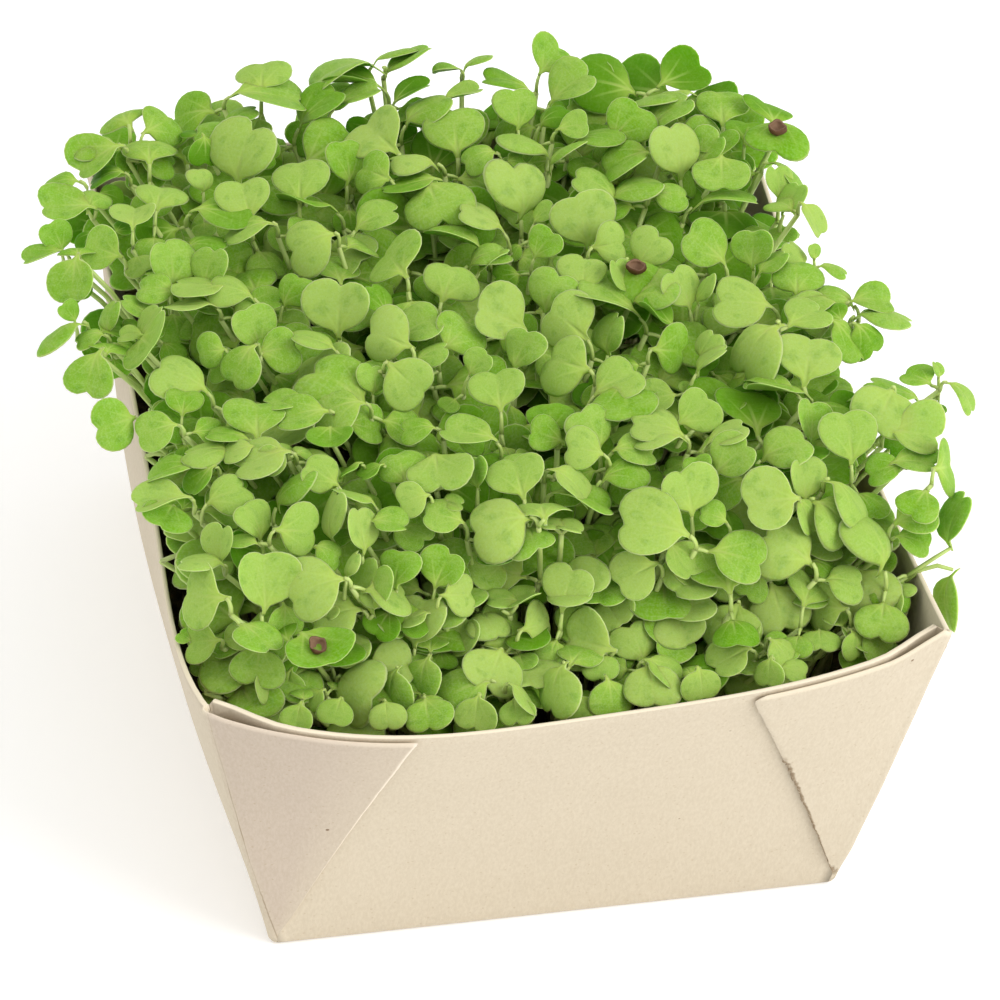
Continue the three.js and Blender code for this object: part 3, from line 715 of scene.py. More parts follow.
class Bed:
    """The compost's top face and the canopy over it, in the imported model's measures."""

    def __init__(self, tray, compost, seedlings):
        self.shape = TrayShape(tray)
        self.seedlings = seedlings
        self.level = (TRAY_BOARD + compost.depth) / tray.height
        self.top = self.level * tray.height
        self.half_width = float(self.shape.half_width(1, self.level)) - TRAY_BOARD
        self.half_length = float(self.shape.half_length(1, self.level)) - TRAY_BOARD

    def spread(self, along):
        return CANOPY_SPREAD_BACK if along > 0 else CANOPY_SPREAD_FRONT

    def height(self, across, along):
        """Height of the leaves over a spot of the bed."""
        across = min(1.1, max(-1.1, across))
        rise = min(1.0, max(0.0, (along + 1) / 0.5))
        low, high = self.seedlings.front_height, self.seedlings.canopy_height
        return lerp(low, high, 1 - (1 - rise) ** 2) - 2 * MM * across * across

    def overhead(self, across, along):
        return np.array([across * self.half_width * CANOPY_SPREAD_SIDE,
                         along * self.half_length * self.spread(along),
                         self.height(across, along)])

    def under(self, x, y):
        """The spot of the bed, from -1 to 1 each way, that carries leaves at x and y."""
        across = x / (self.half_width * CANOPY_SPREAD_SIDE)
        along = y / (self.half_length * self.spread(y))
        return across, along

    def root(self, crown):
        """Where the seedling under a crown is rooted, clear of the walls."""
        across, along = self.under(crown[0], crown[1])
        return np.array([min(0.93, max(-0.93, across)) * self.half_width,
                         min(0.94, max(-0.94, along)) * self.half_length,
                         self.top - 0.6 * MM])

    def starts_inside(self, leaf):
        """Whether a leaf by the front wall starts under the rim, between the walls."""
        level = leaf.base[2] / self.shape.tray.height
        inside = float(self.shape.half_width(1, min(1.0, level))) - self.shape.tray.board
        in_front = leaf.base[1] < -FRONT_PART * self.half_length
        return level < 1 and abs(leaf.base[0]) < inside and in_front

    def front_poke(self, leaf):
        """How far a leaf that hangs lower than the front rim is past the inside of the front wall."""
        shape = self.shape
        poke = -self.half_length
        for point in leaf.brim():
            across = min(1.0, max(-1.0, point[0] / float(shape.half_width(1, 1.0))))
            level = point[2] / shape.rim_height(across, 1.0)
            if level < RIM_TOP:
                inside = FRONT_ROOM + shape.tray.board - float(shape.half_length(across, level, -1))
                poke = max(poke, inside - point[1])
        return poke

    def beside_wall(self, point):
        """A point's level, and its place along the side walls from -1 to 1."""
        level = point[2] / self.shape.tray.height
        return level, min(1.0, max(-1.0, point[1] / float(self.shape.half_length(1, min(1.0, level)))))

    def wall_inside(self, along, level, x):
        """How far the inside of the side wall next to x is from the middle."""
        return float(self.shape.half_width(along, min(1.0, level), x)) - self.shape.tray.board

    def side_poke(self, leaf, top):
        """The same for a leaf beside a long wall, lower than top, which is 1 at the rim."""
        poke = -self.half_width
        for point in leaf.brim():
            _, along = self.beside_wall(point)
            level = point[2] / self.shape.rim_height(1.0, along)
            if level < top:
                room = SIDE_ROOM + FRONT_END_ROOM * (along < -0.85)
                poke = max(poke, abs(point[0]) - self.wall_inside(along, level, point[0]) + room)
        return poke

    def clear_of_sides(self, crown):
        """A crown under the rim, moved in from the side walls."""
        level, along = self.beside_wall(crown)
        if crown[2] > CROWN_TOP * self.shape.rim_height(1.0, along):
            return crown
        reach = max(0.0, abs(crown[0]) - self.wall_inside(along, level, crown[0]) + CROWN_ROOM)
        return crown - np.array([math.copysign(reach, crown[0]), 0, 0])

    def tuck_in(self, leaf, top=RIM_TOP):
        """Moves a leaf clear of the front and side walls, where it is lower than top."""
        leaf.base = leaf.base + np.array([0, max(0.0, self.front_poke(leaf)), 0])
        reach = max(0.0, self.side_poke(leaf, top))
        leaf.base = leaf.base - np.array([math.copysign(reach, leaf.base[0]), 0, 0])
        return leaf


# ---- Seedlings ----

# Half of a blade's outline as shares of its length, from the base round to the notch in its tip: a
# wedge that tapers into its stalk, and a kidney with broad shoulders. Each blade is between the two.
WEDGE_OUTLINE = (
    (-0.17, 0.040), (-0.08, 0.048), (0.00, 0.075), (0.05, 0.14), (0.11, 0.25), (0.20, 0.38), (0.31, 0.49),
    (0.44, 0.57), (0.58, 0.62), (0.72, 0.62), (0.84, 0.56), (0.93, 0.46), (0.975, 0.33), (0.985, 0.19),
    (0.965, 0.08), (0.945, 0.0),
)
KIDNEY_OUTLINE = (
    (-0.15, 0.040), (-0.07, 0.055), (0.00, 0.11), (0.025, 0.22), (0.06, 0.35), (0.13, 0.49), (0.24, 0.61),
    (0.40, 0.68), (0.56, 0.69), (0.72, 0.65), (0.84, 0.56), (0.92, 0.45), (0.965, 0.32), (0.97, 0.19),
    (0.945, 0.08), (0.92, 0.0),
)
BLADE_RINGS = (0.4, 0.72, 0.93, 1.0)
BLADE_CENTRE = 0.5
# The rest is in shares of the blade's length too: its usual width, the reach of its neck and how it bends,
# how far its notch spreads, how softly it folds along its middle, where its cup is deepest, and the depth
# and width of the groove over its midrib.
NATURAL_WIDTH = 1.28
NECK = 0.16
NECK_BEND = 1.5
NECK_BEND_START = 0.12
NOTCH_SPREAD = 0.11
FOLD_SOFTNESS = 0.014
FOLD_OFFSET = 0.118
CUP_PLACE = 0.35
GROOVE_DEPTH = 0.03
GROOVE_WIDTH = 0.05
# How much thinner a blade is at its margin.
THIN_MARGIN = 0.45
# A leaf's base, tip and width are taken just inside its margin.
MARGIN_GROWTH = 1.06
# How far the sown seedlings reach to each side, at the front and at the back.
SOWN_REACH_LEFT = (0.92, 0.84)
SOWN_REACH_RIGHT = (0.78, 0.75)
SOWN_REACH_BACK = 0.88
SOWN_REACH_FRONT = 0.95
# How far a sown seedling strays from its grid, in steps of it; how far under the canopy it is where a leaf
# lies over it and in a gap, in millimetres; and how much deeper it may be.
SOWN_SCATTER = 0.7
UNDER_LEAF = 9
IN_GAP = 3.5
SOWN_DEPTH = 5
# The sown leaves at the front are smaller than the others, and their tone is raised: painted light that
# brightens the front row.
FRONT_SIZE = 0.84
FRONT_PAINTED_LIGHT = 0.16
# Up to this height, as a share of the rim's, the sown leaves of the front half stay inside the walls.
INSIDE_TOP = 1.5
BRIM_SPOTS = ((1, 0.2), (1, -0.2), (0.7, 0.6), (0.7, -0.6), (0.3, 0.5), (0.3, -0.5), (-NECK, 0))
STEM_SIDES = 6
STEM_STEPS = 7
PETIOLE_STEPS = 4
# Radius of a stem at its crown, and of a leaf's stalk there and through its thickness at the blade.
CROWN_RADIUS = 0.38 * MM
STALK_RADIUS = 0.34 * MM
STALK_DEPTH = 0.24 * MM
# How far up a stem its bend is, and which way its flat side faces.
STEM_BEND = 0.62
STEM_FACING = np.array([0.31, 0.95, 0.05])


def spread_outline(half):
    """Upper-side points of a flat blade: its centre and then each ring out to the margin."""
    outline = np.array(list(half) + [(x, -y) for x, y in half[-2::-1]])
    centre = np.array([BLADE_CENTRE, 0.0])
    return np.concatenate([centre[None]] + [centre + (outline - centre) * ring for ring in BLADE_RINGS])


def blade_template():
    """The two flat outlines, how far each point is from the centre, its side, and the faces."""
    wedge, kidney = spread_outline(WEDGE_OUTLINE), spread_outline(KIDNEY_OUTLINE)
    sides = 2 * len(WEDGE_OUTLINE) - 1
    count = len(wedge)
    reach = np.concatenate([[0.0]] + [np.full(sides, ring) for ring in BLADE_RINGS])
    faces = []
    for spoke in range(sides):
        after = (spoke + 1) % sides
        faces.append([0, 1 + after, 1 + spoke])
        for ring in range(len(BLADE_RINGS) - 1):
            low = 1 + ring * sides
            high = low + sides
            faces.append([low + spoke, low + after, high + after, high + spoke])
    # The underside has its own points inside the rim, which both sides share.
    rim = count - sides
    under = [[corner if corner >= rim else corner + count for corner in face[::-1]] for face in faces]
    side = np.concatenate([np.ones(count), -np.ones(rim)])
    side[rim:count] = 0.0
    both = [np.concatenate([points, points[:rim]]) for points in (wedge, kidney, reach)]
    return both[0], both[1], both[2], side, faces + under


WEDGE_POINTS, KIDNEY_POINTS, BLADE_REACH, BLADE_SIDE, BLADE_FACES = blade_template()


def neck_drop(along):
    """How far a blade's neck bends down to its stalk, as a share of the blade's length."""
    return NECK_BEND * np.clip(NECK_BEND_START - along, 0, 1) ** 2


def blade(part, base, tip_way, normal, length, form, tone, thickness):
    """Adds one seed leaf that grows from base along tip_way, with its upper face towards normal."""
    tip_way = unit(tip_way)
    normal = across_to(tip_way, normal)
    sideways = np.cross(normal, tip_way)
    flat = lerp(WEDGE_POINTS, KIDNEY_POINTS, form["shoulder"])
    along = flat[:, 0].copy()
    across = flat[:, 1] * form["width"]
    lobe = np.where(across > 0, 1 + form["skew"], 1 - form["skew"])
    notch = form["notch"] * np.exp(-(across / NOTCH_SPREAD) ** 2) * smooth((along - 0.5) / 0.5)
    along = (along - notch) * (1 + (lobe - 1) * 0.6 * along)
    across = across * lobe
    around = np.arctan2(across, along - BLADE_CENTRE)
    ripple = form["ripple"] * np.sin(form["waves"] * around + form["phase"]) * BLADE_REACH ** 3
    groove = GROOVE_DEPTH * np.exp(-(across / GROOVE_WIDTH) ** 2) * np.clip(1 - along, 0, 1)
    height = (form["fold"] * (np.sqrt(across ** 2 + FOLD_SOFTNESS) - FOLD_OFFSET)
              + form["cup"] * ((along - CUP_PLACE) ** 2 + across ** 2) - form["droop"] * along ** 2
              + form["twist"] * along * across + ripple - form["curl"] * BLADE_REACH ** 6
              - neck_drop(along) - groove)
    shrink = 1 / math.sqrt(1 + form["fold"] ** 2)
    skin = BLADE_SIDE * thickness / 2 * (1 - THIN_MARGIN * BLADE_REACH ** 2)
    points = (base + (length * along)[:, None] * tip_way + (length * across * shrink)[:, None] * sideways
              + (length * height + skin)[:, None] * normal)
    part.add(points, BLADE_FACES, slot=0, tone=tone, along=flat[:, 0], across=flat[:, 1],
             margin=BLADE_REACH, under=np.clip(-BLADE_SIDE, 0, 1))


def tube(part, line, widths, depths, facing, levels, tone):
    """Adds a round stalk along line. facing turns its flat side, and levels run from foot to tip."""
    line = np.asarray(line)
    steps = len(line)
    ways = np.gradient(line, axis=0)
    turn = np.arange(STEM_SIDES) * 2 * math.pi / STEM_SIDES
    rings = []
    for point, way, width, depth in zip(line, ways, widths, depths):
        way = unit(way)
        up = across_to(way, facing)
        sideways = np.cross(way, up)
        rings.append(point + np.cos(turn)[:, None] * sideways * width
                     + np.sin(turn)[:, None] * up * depth)
    faces = grid_faces(steps, STEM_SIDES, closed=True)
    faces.append(list(range(STEM_SIDES))[::-1])
    faces.append([(steps - 1) * STEM_SIDES + side for side in range(STEM_SIDES)])
    part.add(np.concatenate(rings), faces, slot=1, tone=tone, along=np.repeat(levels, STEM_SIDES))


def curve_points(start, control, end, steps):
    share = np.linspace(0, 1, steps)[:, None]
    return (1 - share) ** 2 * start + 2 * share * (1 - share) * control + share ** 2 * end


def random_form(draw):
    """How one blade differs from the next."""
    return {
        "shoulder": draw.uniform(0.3, 1.0),
        "width": draw.uniform(0.96, 1.05),
        "skew": draw.uniform(-0.1, 0.1),
        "notch": draw.uniform(-0.02, 0.07),
        "fold": draw.uniform(-0.12, 0.34),
        "cup": draw.uniform(-0.5, 0.2),
        "droop": draw.uniform(-0.08, 0.16),
        "twist": draw.uniform(-0.3, 0.3),
        "ripple": draw.uniform(0.0, 0.045),
        "curl": draw.uniform(-0.015, 0.06),
        "waves": draw.integers(2, 5),
        "phase": draw.uniform(0, 2 * math.pi),
    }


class Leaf:
    """One seed leaf: where its blade starts, which ways its tip and its upper face point, and its size."""

    def __init__(self, base, tip_way, normal, length, tone):
        self.base = base
        self.tip_way = unit(tip_way)
        self.normal = across_to(self.tip_way, normal)
        self.length = length
        self.tone = tone

    def neck(self):
        """Where the blade meets its stalk."""
        return self.base - self.length * (NECK * self.tip_way + neck_drop(-NECK) * self.normal)

    def middle(self):
        return self.base + self.tip_way * self.length / 2

    def brim(self):
        """A few points round the blade's margin, and its neck."""
        sideways = np.cross(self.normal, self.tip_way)
        for along, across in BRIM_SPOTS:
            yield self.base + self.length * (along * self.tip_way + across * sideways)


def petiole(part, crown, leaf):
    """The short pale stalk between the crown and a blade's neck."""
    end = leaf.neck()
    gap = np.linalg.norm(end - crown)
    control = lerp(crown, end, 0.5) + np.array([0, 0, 0.25 * gap]) - leaf.tip_way * gap * 0.15
    line = curve_points(crown, control, end + leaf.tip_way * 0.4 * MM, PETIOLE_STEPS)
    width = leaf.length * WEDGE_OUTLINE[0][1]
    widths = np.linspace(STALK_RADIUS, width, PETIOLE_STEPS)
    depths = np.linspace(STALK_RADIUS, STALK_DEPTH, PETIOLE_STEPS)
    tube(part, line, widths, depths, leaf.normal, np.full(PETIOLE_STEPS, 1.0), leaf.tone)


def stem(part, root, crown, radius, sway, tone):
    shoulder = np.array([root[0], root[1], lerp(root[2], crown[2], STEM_BEND)]) + sway
    line = curve_points(root, shoulder, crown, STEM_STEPS)
    widths = np.linspace(radius, CROWN_RADIUS, STEM_STEPS)
    tube(part, line, widths, widths, STEM_FACING, np.linspace(0, 1, STEM_STEPS), tone)


def seedling(part, bed, crown, leaves, draw):
    """One seedling: a stem from the bed to its crown, and its leaves on their stalks."""
    seedlings = bed.seedlings
    crown = bed.clear_of_sides(crown)
    radius = seedlings.stem_radius * draw.uniform(0.85, 1.1)
    sway = np.array([draw.uniform(-1, 1), draw.uniform(-1, 1), 0]) * 1.2 * MM
    stem(part, bed.root(crown), crown, radius, sway, leaves[0].tone)
    for leaf in leaves:
        petiole(part, crown, leaf)
        blade(part, leaf.base, leaf.tip_way, leaf.normal, leaf.length, random_form(draw), leaf.tone,
              seedlings.leaf_thickness)


# How far a leaf lies over the others, in millimetres: so much for each step of tone past the usual, one
# for so many pixels of width past the usual, and some by chance.
USUAL_TONE = 4.5
LIFT_FOR_TONE = 0.3
USUAL_WIDTH = 40
WIDTH_FOR_LIFT = 30
CHANCE_LIFT = 1.4


class View:
    """The camera's frame, which places a leaf by where it is seen."""

    def __init__(self, camera):
        turn = np.array(camera.matrix_world)
        self.right, self.up, self.away = turn[:3, 0], turn[:3, 1], -turn[:3, 2]
        self.eye = turn[:3, 3]
        self.focal = camera.data.lens / camera.data.sensor_width * FRAME_PIXELS

    def ray(self, x, y):
        return unit(self.away + (x - FRAME_PIXELS / 2) / self.focal * self.right
                    - (y - FRAME_PIXELS / 2) / self.focal * self.up)

    def on_canopy(self, x, y, bed):
        """The point of the canopy seen at pixel x, y."""
        way = self.ray(x, y)
        height = bed.seedlings.canopy_height
        for _ in range(8):
            point = self.eye + way * (height - self.eye[2]) / way[2]
            height = bed.height(*bed.under(point[0], point[1]))
        return point

    def leaf(self, bed, seen):
        """A leaf from its base, tip and width in pixels. Its tilt explains how short or narrow it looks."""
        base_x, base_y, tip_x, tip_y, width, tone = seen
        way = self.ray((base_x + tip_x) / 2, (base_y + tip_y) / 2)
        centre = self.on_canopy((base_x + tip_x) / 2, (base_y + tip_y) / 2, bed)
        # Light and wide leaves lie on top of the others.
        forward = LIFT_FOR_TONE * (tone - USUAL_TONE) + (width - USUAL_WIDTH) / WIDTH_FOR_LIFT
        forward += CHANCE_LIFT * (chance(base_x + 1.7 * tip_y) - 0.5)
        centre = centre - way * forward * MM
        pixel = (centre - self.eye).dot(self.away) / self.focal
        flat = (tip_x - base_x) * self.right - (tip_y - base_y) * self.up
        seen_length = np.linalg.norm(flat) * pixel * MARGIN_GROWTH
        flat = unit(flat)
        seen_width = width * pixel * MARGIN_GROWTH
        length = max(seen_length, seen_width / NATURAL_WIDTH)
        depth = math.sqrt(length ** 2 - seen_length ** 2)
        away = 1 if tip_y < base_y + 4 else -1
        tip_way = unit(flat * seen_length + self.away * depth * away)
        sideways = np.cross(self.away, flat)
        lean = math.acos(min(1.0, seen_width / (NATURAL_WIDTH * length)))
        choices = []
        for turn in (-lean, lean):
            side = sideways * math.cos(turn) + np.cross(sideways, tip_way) * math.sin(turn)
            normal = np.cross(tip_way, side)
            choices.append(normal if normal.dot(self.away) < 0 else -normal)
        normal = max(choices, key=lambda choice: choice[2])
        leaf = Leaf(centre - tip_way * length / 2, tip_way, normal, length, tone / 10)
        # One that would pass through the front wall moves back along the line of sight.
        leaf.base = leaf.base + way * max(0.0, bed.front_poke(leaf)) / way[1]
        return bed.tuck_in(leaf) if bed.starts_inside(leaf) else leaf


# Two leaves share a crown where they start this close together and point well apart.
SAME_CROWN = 3 * MM
SAME_WAY = 0.3


def crown_under(necks, drop):
    """The crown below the blades' necks."""
    middle = sum(necks) / len(necks)
    return middle - np.array([0, 0, drop])


def partner(bed, leaf, crown, draw):
    """The second, smaller leaf of a seedling, opposite the one given and drooping below it."""
    turn = math.atan2(leaf.tip_way[1], leaf.tip_way[0]) + math.pi + draw.uniform(-0.4, 0.4)
    way = unit(np.array([math.cos(turn), math.sin(turn), draw.uniform(-0.5, 0.0)]))
    if crown[0] * way[0] > 0 and abs(crown[0]) > bed.half_width:
        way[0] *= -0.4
    normal = unit(np.array([draw.normal(0, 0.15), draw.normal(-0.15, 0.15), 1.0]))
    length = min(leaf.length, 9 * MM) * draw.uniform(0.66, 0.86)
    base = crown + unit(way) * (NECK * length + draw.uniform(0.9, 1.8) * MM) + np.array([0, 0, 0.7 * MM])
    return bed.tuck_in(Leaf(base, way, normal, length, leaf.tone * draw.uniform(0.6, 0.9)))


def seen_seedlings(bed, view, draw):
    """The seedlings of the leaves that stand out: two leaves that start together share a crown."""
    leaves = [view.leaf(bed, seen) for seen in STANDOUT_LEAVES]
    plans = []
    while leaves:
        leaf = leaves.pop(0)
        pairs = [other for other in leaves
                 if np.linalg.norm(other.base - leaf.base) < SAME_CROWN
                 and other.tip_way.dot(leaf.tip_way) < SAME_WAY]
        if pairs:
            other = pairs[0]
            leaves.remove(other)
            crown = crown_under([leaf.neck(), other.neck()], draw.uniform(1.0, 1.8) * MM)
            plans.append((crown, [leaf, other]))
        else:
            crown = crown_under([leaf.neck()], draw.uniform(2.0, 3.2) * MM)
            crown = crown - leaf.tip_way * draw.uniform(0.1, 0.8) * MM
            plans.append((crown, [leaf, partner(bed, leaf, crown, draw)]))
    return plans


def carrier_seedlings(bed, draw):
    """The seedlings whose leaf carries a seed hull, each under its hull's seat."""
    plans = []
    for number in range(1, HULL_COUNT + 1):
        low, high = (np.array(corner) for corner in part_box(f"seed_hull_{number}"))
        length = bed.seedlings.leaf_length * 0.88
        seat = np.array([(low[0] + high[0]) / 2, (low[1] + high[1]) / 2, low[2]])
        turn = draw.uniform(-0.6, 0.6) - math.pi / 2
        way = np.array([math.cos(turn), math.sin(turn), 0.0])
        # A blade's middle sags a little below its base.
        base = seat - way * length * 0.5 + np.array([0, 0, 0.55 * MM])
        leaf = Leaf(base, way, np.array([0, 0, 1.0]), length, 0.35)
        crown = crown_under([leaf.neck()], 2.4 * MM)
        plans.append((crown, [leaf, partner(bed, leaf, crown, draw)]))
    return plans


def sown_pair(bed, draw, crown, along):
    """The two unequal leaves of a sown seedling, one on each side of its crown."""
    heading = draw.uniform(0, 2 * math.pi)
    light = np.array([draw.normal(-0.02, 0.22), draw.normal(-0.28, 0.22), 1.0])
    size = bed.seedlings.leaf_length * draw.uniform(0.78, 1.12)
    size *= lerp(FRONT_SIZE, 1, smooth((along + 1) / 0.5))
    tone = min(1.0, draw.beta(2.0, 3.6) + FRONT_PAINTED_LIGHT * smooth((-0.45 - along) / 0.3))
    top = lerp(INSIDE_TOP, RIM_TOP, smooth((along - 0.05) / 0.3))
    turns = (0.0, math.pi + draw.uniform(-0.5, 0.5))
    shares = (1.0, draw.uniform(0.75, 0.95))
    pair = []
    for turn, share in zip(turns, shares):
        way = unit(np.array([math.cos(heading + turn), math.sin(heading + turn), draw.uniform(-0.3, 0.3)]))
        normal = unit(light) + way * draw.uniform(-0.4, 0.1)
        length = size * share
        base = crown + way * (NECK * length + draw.uniform(0.8, 1.8) * MM) + np.array([0, 0, MM])
        pair.append(bed.tuck_in(Leaf(base, way, normal, length, tone), top))
    return pair


def sown_seedlings(bed, draw, taken):
    """Fills the bed with lower seedlings on a loose grid, under and between the leaves taken."""
    seedlings = bed.seedlings
    spots = np.array([leaf.middle()[:2] for leaf in taken])
    plans = []
    for row in range(seedlings.along):
        for column in range(seedlings.across):
            along = (row + 0.5) / seedlings.along * (SOWN_REACH_BACK + SOWN_REACH_FRONT) - SOWN_REACH_FRONT
            across = (column + 0.25 + 0.5 * (row % 2)) / seedlings.across * 2 - 1
            front, back = SOWN_REACH_LEFT if across < 0 else SOWN_REACH_RIGHT
            across *= lerp(front, back, smooth((along + 0.2) / 0.5))
            across += draw.uniform(-SOWN_SCATTER, SOWN_SCATTER) / seedlings.across
            along += draw.uniform(-SOWN_SCATTER, SOWN_SCATTER) / seedlings.along
            crown = bed.overhead(across, along)
            crowd = np.linalg.norm(spots - crown[:2], axis=1).min()
            crown[2] -= lerp(UNDER_LEAF, IN_GAP, smooth((crowd - 2 * MM) / (6 * MM))) * MM
            crown[2] -= SOWN_DEPTH * MM * draw.uniform(0, 1)
            plans.append((crown, sown_pair(bed, draw, crown, along)))
    return plans


# ---- The board ----

# The walls in turn, from the front and round by the right: whether it is an end wall, which side of the
# middle it is on, which way it runs, and the side and the end of the corner that it runs to.
WALLS = (
    (True, -1, 1, (1, -1)),
    (False, 1, 1, (1, 1)),
    (True, 1, -1, (-1, 1)),
    (False, -1, -1, (-1, -1)),
)
WALL_SHARE = 0.975
SMALLEST_RADIUS = 0.25 * MM
# How far from its corner an end wall starts to be tucked in, and the length of a side wall's cut at its end.
TUCK_REACH = 10.5 * MM
CORNER_CUT = 0.8 * MM
FOLD_RADIUS = 0.9 * MM
# The rounded cut edge of the rim: shares of the board's thickness inwards and upwards.
RIM_EDGE = ((0.12, 0.18), (0.5, 0.26), (0.88, 0.18))
BOARD_VALUES = ("cut_edge", "crease", "torn", "turned", "weathered")

# Where a web's points are: shares of its reach from the side wall to its fold, and levels.
WEB_SHARES = np.concatenate([np.linspace(0, 0.1, 13), np.linspace(0.13, 0.92, 20),
                             np.linspace(0.945, 1.0, 8)])
WEB_FOOT = 0.018
WEB_STEPS = 48
TORN_STEPS = 100
# How far a web's edge takes to drop under the rim, and to rise past the corner first.
DROP_REACH = 3 * MM
RISE_REACH = 1.6 * MM
WEB_GAP = 0.04 * MM
SIDE_GAP = 0.03 * MM
# How high the middle of each ply lies, in thicknesses of board, with the outer ply first, and how much
# narrower and lower than the outer ply the one under it is.
PLY_STACK = (1.1, 0.45)
PLY_WIDTH = (1.0, 0.97)
PLY_HEIGHT = (1.0, 0.94)
# How far round the corner the scored line of a web is, as a share of the quarter turn.
SCORE_TURN = 1.0
NO_SCORE = 9.0
# The tear is between these levels and starts and ends within a short step.
TEAR_FOOT = 0.03
TEAR_TOP = 0.66
TEAR_STEP = 0.03


class Walls:
    """The floor and the four walls, in one shell as thick as the board."""

    def __init__(self, shape, wall_steps, corner_steps, level_steps):
        self.shape = shape
        self.wall_shares = np.linspace(-WALL_SHARE, WALL_SHARE, wall_steps)
        self.quarter = np.linspace(0, math.pi / 2, corner_steps + 2)
        self.level_steps = level_steps
        self.rings = []
        self.edges = []

    def outline(self, level, inset):
        """One level of the walls as seen from above, from the front left corner and round by the right."""
        shape, tray = self.shape, self.shape.tray
        radius = max(shape.corner_radius(level) - inset, SMALLEST_RADIUS)
        points = []
        for is_end, place, way, (side, end) in WALLS:
            for share in way * self.wall_shares:
                if is_end:
                    length = float(shape.half_length(share, level, place)) - inset
                    width = float(shape.half_width(1, level)) - inset
                    near_corner = 1 - (1 - abs(share)) * width / TUCK_REACH
                    length -= tray.tuck * level ** 2 * smooth(near_corner)
                    points.append((share * width, place * length))
                else:
                    width = float(shape.half_width(share, level, place)) - inset
                    length = float(shape.half_length(1, level, place)) - inset
                    points.append((place * width, share * length))
            width = float(shape.half_width(1, level)) - inset
            length = float(shape.half_length(1, level, end)) - inset
            for angle in (self.quarter if is_end else self.quarter[::-1]):
                points.append((side * (width - radius * (1 - math.sin(angle))),
                               end * (length - radius * (1 - math.cos(angle)))))
        return np.array(points)

    def add_ring(self, level, inset, lift=0.0, edge=0.0):
        shape = self.shape
        flat = self.outline(level, inset)
        length = float(shape.half_length(1, level))
        across = np.clip(flat[:, 0] / float(shape.half_width(1, level)), -1, 1)
        along = np.clip(flat[:, 1] / length, -1, 1)
        rim = shape.rim_height(across, along)
        # The board is cut short where a side wall turns into its webs.
        at_corner = smooth((np.abs(flat[:, 1]) - length + shape.corner_radius(level)) / CORNER_CUT)
        at_corner = at_corner * (np.abs(across) > 0.9775)
        height = np.minimum(rim * level, rim - shape.tray.notch * at_corner) + lift
        self.rings.append(np.column_stack([flat, height]))
        self.edges.append(np.full(len(flat), edge))

    def build(self, part):
        tray = self.shape.tray
        # The fold between the floor and the walls is rounded.
        for share in (0.0, 0.35, 0.7):
            angle = share * math.pi / 2
            self.add_ring(FOLD_RADIUS * (1 - math.cos(angle)) / tray.height,
                          FOLD_RADIUS * (1 - math.sin(angle)))
        for level in np.linspace(FOLD_RADIUS / tray.height, 1, self.level_steps):
            self.add_ring(level, 0.0)
        for inwards, upwards in RIM_EDGE:
            self.add_ring(1.0, inwards * tray.board, upwards * tray.board, 1.0)
        for level in np.linspace(1, tray.board / tray.height, self.level_steps):
            self.add_ring(level, tray.board)
        count, columns = len(self.rings), len(self.rings[0])
        faces = grid_faces(count, columns, closed=True)
        # The outer and inner floors close the shell.
        faces.append(list(range(columns))[::-1])
        faces.append([(count - 1) * columns + column for column in range(columns)])
        part.add(np.concatenate(self.rings), faces, cut_edge=np.concatenate(self.edges))


